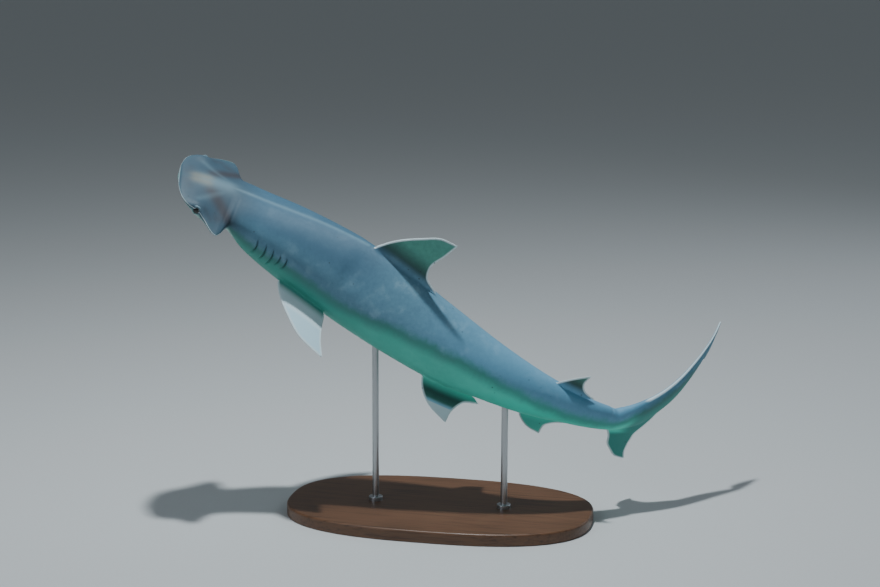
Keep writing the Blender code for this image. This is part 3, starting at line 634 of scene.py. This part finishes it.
def skin_tube():
    """The long body: points, faces, and the fields that its markings, painted shade and painted
    highlights are drawn from.
    """
    stations = ring_stations()
    angle = np.array([even_angles(s, RING_QUARTER) for s in stations])
    s = np.repeat(stations[:, None], angle.shape[1], 1)
    y, z = section(s, angle)
    place = np.stack([-s, y, z], -1)
    normal = np.cross(np.gradient(place, axis=0), np.gradient(place, axis=1))
    normal /= np.maximum(np.linalg.norm(normal, axis=-1), TINY)[..., None]
    normal *= np.sign(normal[:, RING_QUARTER, 1].sum())
    relief = gill_relief(s, angle) + tail_pit_relief(s, angle)
    face = stations < FACE_END
    relief[face] += mouth_relief(s[face], y[face], angle[face])
    relief[face] += nostril_relief(s[face], y[face], angle[face])
    half = [s - normal[..., 0] * relief, y + normal[..., 1] * relief, z + normal[..., 2] * relief]
    fields = {
        "station": s,
        "over_line": z - through(SHADE_LINE, s),
        "carved": relief,
        "from_edge": from_body_edge(s, y, z, angle),
        "under": underside(s, angle),
        "crown": eased(np.sin(angle), *CROWN_RISE) * (1 - eased(s, *CROWN_END)),
        "tail_share": eased(s, *TAIL_BLADE),
    }
    for name, marks in HEAD_MARKS.items():
        fields[name] = head_marks(marks, s, y) * (angle > 0)
    for name in ("fin_share", "fin_back", "fin_out", "pale_fin"):
        fields[name] = np.zeros_like(s)
    mirror = slice(-2, 0, -1)
    whole = [np.concatenate([v, (-v if i == 1 else v)[:, mirror]], 1) for i, v in enumerate(half)]
    rings = bend(*whole)
    ends = [bend(0.0, 0.0, SNOUT_LEVEL), rings[-1].mean(0)]
    points = np.concatenate([rings.reshape(-1, 3), ends])
    for name, values in fields.items():
        values = np.concatenate([values, values[:, mirror]], 1)
        fields[name] = np.concatenate([values.ravel(), [values[0, 0], values[-1, 0]]])
    return points, tube_faces(*rings.shape[:2]), fields


def from_body_edge(s, y, z, angle):
    """How far a place is from the head's side margin or the tail blade's edges."""
    up = HEAD_RIM_SLOPE * (z - along_body(FLANK, s))
    head = np.hypot(along_body(HALF_WIDTH, s) - y, up)
    head = np.minimum(head, np.hypot(s, z - SNOUT_LEVEL)) + UNDER_RIM * (angle < 0)
    below = z - along_body(BELLY, s) + COVERED_RIM * (1 - eased(s, *LOWER_LOBE_END))
    tail = np.minimum(along_body(BACK, s) - z, below)
    tail += COVERED_RIM * (1 - eased(s, *TAIL_BLADE))
    clear = np.where(s < HEAD_RIM_END, head + RIM_INSET, BARE_RIM)
    return np.where(s > TAIL_BLADE[0], tail + RIM_INSET, clear)


def underside(s, angle):
    """The white underside: the whole of the flat head, then a middle strip that fades aft."""
    behind = eased(s, *HEAD_END)
    start, full = (a + (b - a) * behind for a, b in zip(WHITE_HEAD, WHITE_STRIP))
    return (1 - WHITE_LOSS * eased(s, *WHITE_FADE)) * eased(-np.sin(angle), start, full)


def head_marks(marks, s, y):
    """Soft patches of painted shade and painted highlight on the head and neck, each along a line
    between two places.
    """
    share = np.zeros_like(s)
    for (s0, y0), (s1, y1), reach, strength in marks:
        way = np.array([s1 - s0, y1 - y0])
        along = ((s - s0) * way[0] + (np.abs(y) - y0) * way[1]) / (way @ way)
        along = np.clip(along, 0, 1)
        away = np.hypot(s - s0 - along * way[0], np.abs(y) - y0 - along * way[1])
        share = np.maximum(share, strength * np.exp(-((away / reach) ** 2)))
    return share


def quads(*corners):
    """Four-cornered faces, from four arrays of the points' numbers."""
    return np.stack(corners, -1).reshape(-1, 4).tolist()


def tube_faces(count, around):
    """Faces of a closed tube of rings, with its two ends as fans round a middle point."""
    ring = np.arange(count * around).reshape(count, around)
    turned_on = np.roll(ring, -1, 1)
    faces = quads(ring[:-1], turned_on[:-1], turned_on[1:], ring[1:])
    caps = [(count * around, b, a) for a, b in zip(ring[0].tolist(), turned_on[0].tolist())]
    rear = zip(ring[-1].tolist(), turned_on[-1].tolist())
    return faces + caps + [(count * around + 1, a, b) for a, b in rear]


def outline(points, count):
    """Evenly spaced places along a smooth line through the given ones."""
    points = np.array(points, float)
    run = np.concatenate([[0], np.cumsum(np.linalg.norm(np.diff(points, axis=0), axis=1))])
    at = np.linspace(0, run[-1], count)
    return np.stack([through(list(zip(run, points[:, i])), at) for i in range(2)], -1)


def blade(leading, trailing, base, half_thickness):
    """A fin's places in its own plane, their half thickness, share back and way to the edge."""
    fore = outline(leading, FIN_ROWS)[:, None]
    rear = outline(trailing, FIN_ROWS)[:, None]
    foot = outline((leading[0], *base, trailing[0]), FIN_COLUMNS)[None, :]
    t = (np.linspace(0, 1, FIN_ROWS) ** ROW_CROWDING)[:, None, None]
    c = np.linspace(0, 1, FIN_COLUMNS)[None, :, None]
    tip = fore[-1] * (1 - c) + rear[-1] * c
    corners = (
        (1 - t) * ((1 - c) * fore[0] + c * rear[0]) + t * ((1 - c) * fore[-1] + c * rear[-1])
    )
    flat = (1 - t) * foot + t * tip + (1 - c) * fore + c * rear - corners
    t, c = t[..., 0] + 0 * c[..., 0], c[..., 0] + 0 * t[..., 0]
    foil = FOIL_FULLNESS * np.sqrt(c) * (1 - c) * (1 - FOIL_TAPER * c)
    root = 1 + ROOT_FLARE * (1 - t) ** ROOT_SPREAD
    half = FIN_EDGE + (half_thickness - FIN_EDGE) * foil * (1 - t) ** TIP_TAPER * root
    rim = np.concatenate([outline(leading, RIM_POINTS), outline(trailing, RIM_POINTS)])
    edge = np.linalg.norm(flat[:, :, None] - rim, axis=-1).min(-1)
    return flat, half, c, edge


def closed_blade(near, far):
    """Points and faces of a closed solid between the two faces of a fin."""
    rows, columns = near.shape[:2]
    points = np.concatenate([near.reshape(-1, 3), far.reshape(-1, 3)])
    grid = np.arange(rows * columns).reshape(rows, columns)
    corners = (grid[:-1, :-1], grid[:-1, 1:], grid[1:, 1:], grid[1:, :-1])
    turned_round = corners[:1] + corners[:0:-1]
    both = [np.stack([a, b + grid.size], -1) for a, b in zip(corners, turned_round)]
    rim = np.concatenate([grid[0], grid[1:, -1], grid[-1, -2::-1], grid[-2:0:-1, 0]])
    after = np.roll(rim, -1)
    return points, quads(*both) + quads(after, rim, rim + grid.size, after + grid.size)


def fin_shapes():
    """For each fin its points, faces, share back from the front and way to the edge."""
    shapes = {}
    for name, (leading, trailing, base, thick) in UPRIGHT_FINS.items():
        flat, half, c, edge = blade(leading, trailing, base, thick)
        near, far = (bend(flat[..., 0], v, flat[..., 1]) for v in (half, -half))
        shapes[name] = (*closed_blade(near, far), c, edge)
    for kind, (root, droop, leading, trailing, base, thick) in PAIRED_FINS.items():
        flat, half, c, edge = blade(leading, trailing, base, thick)
        point, back, left, up = frame_at(root[0])
        for side, word in SIDES:
            out = side * left * math.cos(droop) - up * math.sin(droop)
            face = side * left * math.sin(droop) + up * math.cos(droop)
            middle = point + side * left * root[1] + up * root[2]
            middle = middle + flat[..., :1] * back + flat[..., 1:] * out
            near, far = (to_world(middle + v[..., None] * face) for v in (half, -half))
            shapes[f"{kind}_{word}"] = (*closed_blade(near, far), c, edge)
    return shapes


def eye_axes(side):
    """The eye's middle, and its facing and two cross directions, in the world."""
    centre = bend(EYE_STATION, side * EYE_OUT, EYE_LEVEL)
    _, back, left, up = frame_at(EYE_STATION)
    facing = EYE_FACING[0] * back + EYE_FACING[1] * side * left + EYE_FACING[2] * up
    facing = world_axes() @ (facing / np.linalg.norm(facing))
    across = np.cross(world_axes() @ up, facing)
    across /= np.linalg.norm(across)
    return centre, facing, across, np.cross(facing, across)


def turned(profile, centre, facing, across, over, around):
    """A solid turned round its facing, from pairs of radius and distance along it."""
    angle = np.linspace(0, 2 * math.pi, around, endpoint=False)[None, :, None]
    profile = np.array(profile)
    facing, across, over = (np.array(v, float) for v in (facing, across, over))
    rings = (
        centre
        + profile[1:-1, 1, None, None] * facing
        + profile[1:-1, 0, None, None] * (np.cos(angle) * across + np.sin(angle) * over)
    )
    ends = [centre + profile[0, 1] * facing, centre + profile[-1, 1] * facing]
    return np.concatenate([rings.reshape(-1, 3), ends]), tube_faces(len(rings), around)


def ball_profile(grow=0.0, steps=40):
    angle = np.linspace(-math.pi / 2, math.pi / 2, steps)
    return np.stack([(EYE_RADIUS + grow) * np.cos(angle), (EYE_DEPTH + grow) * np.sin(angle)], 1)


def lid_rim(side, around=72, corners=16):
    """A rounded rim of skin round the eye, half sunk in the head."""
    centre, facing, across, over = eye_axes(side)
    a = np.linspace(0, 2 * math.pi, around, endpoint=False)[:, None, None]
    b = np.linspace(0, 2 * math.pi, corners, endpoint=False)[None, :, None]
    radial = np.cos(a) * across + np.sin(a) * over
    points = centre + (LID_RING + LID_RADIUS * np.cos(b)) * radial
    points = (points + (LID_OUT + LID_RADIUS * np.sin(b)) * facing).reshape(-1, 3)
    here = np.arange(around * corners).reshape(around, corners)
    there = np.roll(here, -1, 0)
    return points, quads(here, there, np.roll(there, -1, 1), np.roll(here, -1, 1))


def facing_out(points, faces):
    """The same faces, turned round if the solid they close is inside out."""
    fans = [(f[0], f[k], f[k + 1]) for f in faces for k in range(1, len(f) - 1)]
    a, b, c = (points[np.array(fans)[:, i]] for i in range(3))
    if np.einsum("ij,ij->i", a, np.cross(b, c)).sum() > 0:
        return faces
    return [tuple(reversed(f)) for f in faces]


def add_object(name, data):
    made = bpy.data.objects.new(name, data)
    bpy.context.scene.collection.objects.link(made)
    return made


def add_piece(name, points, faces, slots=1, index=0):
    mesh = bpy.data.meshes.new(name)
    mesh.from_pydata([tuple(p) for p in points], [], facing_out(points, faces))
    for _ in range(slots):
        mesh.materials.append(None)
    mesh.polygons.foreach_set("material_index", [index] * len(mesh.polygons))
    mesh.shade_smooth()
    return add_object(name, mesh)


def join_or_cut(target, others, operation):
    """Applies the Booleans at once and removes the helpers."""
    for other in others:
        step = target.modifiers.new(other.name, "BOOLEAN")
        step.operation = operation
        step.solver = "MANIFOLD"
        step.object = other
    graph = bpy.context.evaluated_depsgraph_get()
    mesh = bpy.data.meshes.new_from_object(target.evaluated_get(graph))
    target.modifiers.clear()
    old, target.data = target.data, mesh
    bpy.data.meshes.remove(old)
    for other in others:
        bpy.data.objects.remove(other, do_unlink=True)


def read_all(items, key, width=1, kind=float):
    """What every vertex, edge, face or corner says under a key, as rows of the given width."""
    values = np.zeros(len(items) * width, kind)
    items.foreach_get(key, values)
    return values if width == 1 else values.reshape(-1, width)


def place_tree(points):
    """A tree that finds the nearest of the points."""
    tree = KDTree(len(points))
    for i, p in enumerate(points):
        tree.insert(p, i)
    tree.balance()
    return tree


def smooth_roots(target, reaches):
    """Rounds the corner where each fin or lid meets the body, over that piece's own reach."""
    mesh = target.data
    points = read_all(mesh.vertices, "co", 3)
    corners = read_all(mesh.loops, "vertex_index", kind=int)
    index = read_all(mesh.polygons, "material_index", kind=int)
    index = np.repeat(index, read_all(mesh.polygons, "loop_total", kind=int))
    weight = np.zeros(len(points))
    for piece, reach in reaches.items():
        seam = points[np.intersect1d(corners[index == 0], corners[index == piece])]
        if not len(seam):
            continue
        tree = place_tree(seam)
        near = (points > seam.min(0) - reach) & (points < seam.max(0) + reach)
        for i in np.flatnonzero(near.all(1)):
            weight[i] = max(weight[i], 1 - tree.find(points[i])[2] / reach)
    edges = read_all(mesh.edges, "vertices", 2, int)
    edges = edges[(weight[edges] > 0).any(1)]
    start, end = np.concatenate([edges, edges[:, ::-1]]).T
    count = np.maximum(np.bincount(start, minlength=len(points)), 1)[:, None]
    pull = FILLET_PULL * weight[:, None]
    for _ in range(FILLET_PASSES):
        sums = [np.bincount(start, points[end, k], len(points)) for k in range(3)]
        points += pull * (np.stack(sums, 1) / count - points)
    mesh.vertices.foreach_set("co", points.ravel())
    mesh.update()


def write_field(mesh, name, values):
    field = mesh.attributes.new(name, "FLOAT", "POINT")
    field.data.foreach_set("value", values.astype(np.float32))


def nearest(points, to):
    """For each point the number of the nearest other one, and how far off it is."""
    tree = place_tree(to)
    found = [tree.find(p)[1:] for p in points]
    return np.array([f[0] for f in found]), np.array([f[1] for f in found])


def fin_fields(name, points, back, edge, body_points, body_fields):
    """A fin takes the body's fields where it grows from it, so that no seam shows there."""
    index, away = nearest(points, body_points)
    fields = {key: values[index] for key, values in body_fields.items()}
    fields["fin_back"], fields["from_edge"] = (np.tile(v.ravel(), 2) for v in (back, edge))
    fields["fin_out"] = away
    fields["pale_fin"] = through(FIN_PALENESS[name.split("_")[0]], away)
    fields["under"] *= 1 - eased(away, *WHITE_CLEAR)
    clear = eased(away, *FIN_CLEAR)
    if name == "tail_fin_lower":
        fields["tail_share"] = np.maximum(fields["tail_share"], clear)
    else:
        fields["fin_share"] = clear * (ANAL_FIN_SHARE if name == "anal_fin" else 1.0)
    for key in ("carved", *HEAD_MARKS):
        fields[key] = np.zeros_like(away)
    return fields


def build_skin():
    """One skin for body, fins and lids, with the fields that its markings, painted shade and
    painted highlights are drawn from.
    """
    points, faces, body = skin_tube()
    fins = fin_shapes()
    slots = 2 + len(fins)
    skin = add_piece("shark_skin", points, faces, slots)
    sources, fields = [points], [body]
    reaches, added = {slots - 1: LID_FILLET}, []
    for i, (name, (fin_points, fin_faces, back, edge)) in enumerate(fins.items()):
        added.append(add_piece(name + "_part", fin_points, fin_faces, slots, i + 1))
        large = "first" in name or "pectoral" in name
        reaches[i + 1] = LARGE_FILLET if large else SMALL_FILLET
        sources.append(fin_points)
        fields.append(fin_fields(name, fin_points, back, edge, points, body))
    for side, word in SIDES:
        lid_points, lid_faces = lid_rim(side)
        added.append(add_piece(f"lid_{word}_part", lid_points, lid_faces, slots, slots - 1))
        sources.append(lid_points)
        index, _ = nearest(lid_points, points)
        fields.append({key: values[index] for key, values in body.items()})
        fields[-1]["pale"] = np.full(len(lid_points), LID_PALENESS)
    join_or_cut(skin, added, "UNION")
    index, _ = nearest(read_all(skin.data.vertices, "co", 3), np.concatenate(sources))
    for name in body:
        write_field(skin.data, name, np.concatenate([f[name] for f in fields])[index])
    smooth_roots(skin, reaches)
    sockets = []
    for side, word in SIDES:
        ball = turned(ball_profile(EYE_GAP), *eye_axes(side), EYE_SIDES)
        sockets.append(add_piece(f"socket_{word}_part", *ball, slots, slots - 1))
    join_or_cut(skin, sockets, "DIFFERENCE")
    skin.data.materials.clear()
    skin.data.materials.append(shark_skin_material(body))
    skin.data.polygons.foreach_set("material_index", [0] * len(skin.data.polygons))
    skin.data.shade_smooth()
    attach(skin, "root")
    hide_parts(*FLESH)


def linear(colour):
    """An sRGB hex colour as linear red, green, blue and alpha."""
    parts = [int(colour[i : i + 2], 16) / 255 for i in (1, 3, 5)]
    return (*(p / 12.92 if p <= 0.04045 else ((p + 0.055) / 1.055) ** 2.4 for p in parts), 1.0)


def plug(tree, made, links, inputs=()):
    """Sets inputs of a node to values, and links others from other nodes' outputs."""
    for key, value in dict(inputs).items():
        made.inputs[key].default_value = value
    for key, output in links.items():
        tree.links.new(output, made.inputs[key])


def node(tree, kind, links=None, inputs=(), **settings):
    """Adds a node with its settings, input values and links from other nodes' outputs."""
    made = tree.nodes.new("ShaderNode" + kind)
    for key, value in settings.items():
        setattr(made, key, value)
    plug(tree, made, links or {}, inputs)
    return made


def coated(tree, colour, coats, patterns):
    """Coats of paint, each over what lies under it, by the patterns that they follow."""
    for paint, pattern, bare, full, strength in coats:
        share = node(
            tree,
            "MapRange",
            {"Value": patterns[pattern]},
            {"From Min": bare, "From Max": full, "To Max": strength},
            interpolation_type="SMOOTHSTEP",
        ).outputs["Result"]
        links = {"Factor": share, "A": colour}
        mix = node(tree, "Mix", links, {"B": linear(paint)}, data_type="RGBA")
        colour = mix.outputs["Result"]
    return colour


def paintwork(tree, paints, patterns):
    """Two paints with more of the second where their pattern is high, and the coats over them."""
    (pattern, first, second), *coats = paints
    inputs = {"A": linear(first), "B": linear(second)}
    links = {"Factor": patterns[pattern]}
    mix = node(tree, "Mix", links, inputs, data_type="RGBA")
    return coated(tree, mix.outputs["Result"], coats, patterns)


def new_material(name, fields=(), detail=2.0, roughness=0.5, **sizes):
    """A material, its shader, the place on the object, and patterns: fields and cloudy noises."""
    made = bpy.data.materials.new(name)
    made.use_nodes = True
    tree = made.node_tree
    place = node(tree, "TexCoord").outputs["Object"]
    patterns = {key: node(tree, "Attribute", attribute_name=key) for key in fields}
    for key, size in sizes.items():
        inputs = {"Scale": 1 / size, "Detail": detail, "Roughness": roughness}
        patterns[key] = node(tree, "TexNoise", {"Vector": place}, inputs)
    patterns = {key: pattern.outputs["Fac"] for key, pattern in patterns.items()}
    return made, tree, tree.nodes["Principled BSDF"], place, patterns


def drawn_out(tree, place, lengths, **inputs):
    """A cloudy pattern with a length of its own along each axis."""
    scale = {"Scale": [1 / length for length in lengths]}
    along = node(tree, "Mapping", {"Vector": place}, scale).outputs["Vector"]
    return node(tree, "TexNoise", {"Vector": along}, {"Scale": 1.0, **inputs}).outputs["Fac"]


def shark_skin_material(fields):
    """Shark skin as an airbrushed fibreglass cast: satin, with a fine grain and soft mottles, with
    painted shade and highlights.
    """
    sizes = {"cloud": CLOUD_SIZE, "mottle": MOTTLE_SIZE, "grain": DENTICLE}
    made, tree, shader, place, patterns = new_material(
        "airbrushed_shark_skin", fields, detail=4.0, roughness=0.6, **sizes
    )
    cells = node(tree, "TexVoronoi", {"Vector": place}, {"Scale": 1 / SPECK_SPACING})
    patterns["speck"] = cells.outputs["Distance"]
    height = patterns["over_line"]
    for name, wander in (("cloud", SHADE_WANDER), ("mottle", SHADE_FRAY)):
        links = {0: patterns[name], 2: height}
        height = node(tree, "Math", links, {1: wander}, operation="MULTIPLY_ADD")
        height = height.outputs[0]
    middle = {1: (SHADE_WANDER + SHADE_FRAY) / 2}
    height = node(tree, "Math", {0: height}, middle, operation="SUBTRACT").outputs[0]
    patterns["height"] = height
    above = node(tree, "MapRange", {"Value": height}, BORDER, interpolation_type="SMOOTHSTEP")
    colour = paintwork(tree, BELLY_PAINT, patterns)
    stages = ((above.outputs["Result"], BACK_PAINT), (patterns["fin_share"], FIN_PAINT))
    for share, paints in stages:
        links = {"Factor": share, "A": colour, "B": paintwork(tree, paints, patterns)}
        colour = node(tree, "Mix", links, data_type="RGBA").outputs["Result"]
    colour = coated(tree, colour, LAST_COATS, patterns)

    turns = {1: 2 * math.pi * FIN_RAYS}
    rays = node(tree, "Math", {0: patterns["fin_back"]}, turns, operation="MULTIPLY")
    rays = node(tree, "Math", {0: rays.outputs[0]}, operation="SINE")
    links = {0: rays.outputs[0], 1: patterns["fin_share"], 2: patterns["grain"]}
    rays = node(tree, "Math", links, operation="MULTIPLY_ADD")
    relief = node(tree, "Bump", {"Height": rays.outputs[0]}, SKIN_RELIEF)
    gloss = node(tree, "MapRange", {"Value": patterns["mottle"]}, SKIN_ROUGHNESS)
    links = {"Base Color": colour, "Normal": relief.outputs["Normal"]}
    plug(tree, shader, links | {"Roughness": gloss.outputs["Result"]})
    return made


def glass_eye_material():
    """Glass, painted from behind: a wide black pupil, a thin silver-grey iris, a sharp glint."""
    made, tree, shader, _, patterns = new_material(
        "painted_glass_eye", ["off_axis"], fleck=IRIS_FLECK
    )
    colour = paintwork(tree, EYE_PAINT, patterns)
    plug(tree, shader, {"Base Color": colour}, {"Roughness": EYE_ROUGHNESS, "IOR": GLASS_INDEX})
    return made


def build_eyes():
    look = glass_eye_material()
    profile = ball_profile(steps=56)
    for side, word in SIDES:
        points, faces = turned(profile, *eye_axes(side), EYE_SIDES)
        eye = add_piece(f"glass_eye_{word}", points, faces)
        radii = np.concatenate([np.repeat(profile[1:-1, 0], EYE_SIDES), [0.0, 0.0]])
        write_field(eye.data, "off_axis", radii)
        eye.data.materials[0] = look
        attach(eye, "root")
        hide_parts(f"eye_{word}")


def walnut_material():
    """Walnut board, planed and oiled: brown with darker long grain and a low sheen."""
    made, tree, shader, place, patterns = new_material("oiled_walnut", tone=GRAIN[0])
    grain = drawn_out(tree, place, GRAIN, Detail=6.0, Roughness=0.65, Distortion=0.4)
    patterns["grain"] = grain
    colour = paintwork(tree, WALNUT_PAINT, patterns)
    pores = node(tree, "Bump", {"Height": grain}, WALNUT_RELIEF)
    links = {"Base Color": colour, "Normal": pores.outputs["Normal"]}
    plug(tree, shader, links, {"Roughness": WALNUT_ROUGHNESS})
    return made


def steel_material():
    """Stainless bar, brushed round as it turned: grey metal with fine rings and a soft streak."""
    made, tree, shader, place, _ = new_material("brushed_stainless_steel")
    strokes = drawn_out(tree, place, BRUSH_STROKE)
    gloss = node(tree, "MapRange", {"Value": strokes}, STEEL_ROUGHNESS)
    inputs = {"Base Color": linear(STEEL_COLOUR), "Metallic": 1.0}
    plug(tree, shader, {"Roughness": gloss.outputs["Result"]}, inputs)
    return made


def rounded(radius, corner, up, turn, steps=6):
    """Radius and height round a turned edge, from the given corner by a quarter circle."""
    angle = np.linspace(0, math.pi / 2, steps)
    near, far = corner * (1 - np.cos(angle)), corner * (1 - np.sin(angle))
    inset, rise = (near, -far) if turn == "over" else (far, near)
    return list(zip(radius - inset, up + rise))


def finish_piece(made, look, node_name):
    made.data.materials[0] = look
    made.data.set_sharp_from_angle(angle=SHARP_ANGLE)
    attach(made, "root")
    if node_name:
        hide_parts(node_name)


def build_stand():
    """A flat wooden base with softened edges, and two steel rods, each with a small collar."""
    around = np.linspace(0, 2 * math.pi, BASE_SIDES, endpoint=False)
    power = 2 / BASE_SQUARENESS
    x, y = (np.sign(v) * np.abs(v) ** power for v in (np.cos(around), np.sin(around)))
    profile = rounded(0.0, BASE_ROUND / 2, 0.0, "under")
    profile += rounded(0.0, BASE_ROUND, BASE_THICKNESS, "over")
    profile.append((-2 * BASE_ROUND, BASE_THICKNESS))
    profile.insert(0, (-2 * BASE_ROUND, 0.0))
    rings = [
        np.stack(
            [x * (BASE_LENGTH / 2 + inset), y * (BASE_WIDTH / 2 + inset), np.full(BASE_SIDES, up)],
            -1,
        )
        for inset, up in profile
    ]
    points = np.concatenate(rings + [[(0.0, 0.0, 0.0), (0.0, 0.0, BASE_THICKNESS)]])
    base = add_piece("display_base", points, tube_faces(len(rings), BASE_SIDES))
    finish_piece(base, walnut_material(), "stand_base")
    steel = steel_material()
    for station, word in ((FRONT_ROD_STATION, "front"), (REAR_ROD_STATION, "rear")):
        x, y, top = bend(station, 0.0, 0.0)
        axes = ((x, y, 0.0), (0, 0, 1), (1, 0, 0), (0, 1, 0))
        bar = [(0, ROD_FOOT), (ROD_RADIUS, ROD_FOOT), (ROD_RADIUS, top), (0, top)]
        rod = add_piece(f"rod_{word}", *turned(bar, *axes, ROD_SIDES))
        finish_piece(rod, steel, f"stand_rod_{word}")
        collar = [(0, ROD_FOOT), (COLLAR_RADIUS, ROD_FOOT)]
        collar += rounded(COLLAR_RADIUS, COLLAR_ROUND, BASE_THICKNESS + COLLAR_HEIGHT, "over")
        collar.append((0, BASE_THICKNESS + COLLAR_HEIGHT))
        ring = add_piece(f"rod_collar_{word}", *turned(collar, *axes, ROD_SIDES))
        finish_piece(ring, steel, None)


def floor_material():
    """Smooth floor in matt emulsion: pale, with the faint stipple of a roller."""
    made, tree, shader, _, patterns = new_material("matt_floor_paint", stipple=STIPPLE_SIZE)
    colour = paintwork(tree, FLOOR_PAINT, patterns)
    plug(tree, shader, {"Base Color": colour}, {"Roughness": FLOOR_ROUGHNESS})
    return made


def build_studio():
    far = FLOOR_SIZE / 2
    mesh = bpy.data.meshes.new("studio_floor")
    corners = [(-far, -far, 0), (far, -far, 0), (far, far, 0), (-far, far, 0)]
    mesh.from_pydata(corners, [], [(0, 1, 2, 3)])
    mesh.materials.append(floor_material())
    add_object("studio_floor", mesh)
    world = bpy.data.worlds.new("studio")
    bpy.context.scene.world = world
    world.use_nodes = True
    sky = world.node_tree.nodes["Background"]
    sky.inputs["Color"].default_value = linear(SKY_COLOUR)
    sky.inputs["Strength"].default_value = SKY_STRENGTH
    for name, place, width, power, colour in LAMPS:
        lamp = bpy.data.lights.new(name, "AREA")
        lamp.size, lamp.energy, lamp.color = width, power, linear(colour)[:3]
        made = add_object(name, lamp)
        made.location = place
        aim = Vector(LAMP_AIM) - Vector(place)
        made.rotation_euler = aim.to_track_quat("-Z", "Y").to_euler()


def build_camera():
    data = bpy.data.cameras.new("camera")
    data.lens = CAMERA_LENS
    data.shift_x, data.shift_y = CAMERA_SHIFT
    camera = add_object("camera", data)
    a, e = CAMERA_AZIMUTH, CAMERA_ELEVATION
    back = Vector((math.sin(a) * math.cos(e), -math.cos(a) * math.cos(e), math.sin(e)))
    camera.location = Vector(STAND_SHIFT) + back * CAMERA_DISTANCE
    camera.rotation_euler = (-back).to_track_quat("-Z", "Y").to_euler()
    bpy.context.scene.camera = camera


build_skin()
build_eyes()
build_stand()
build_studio()
build_camera()
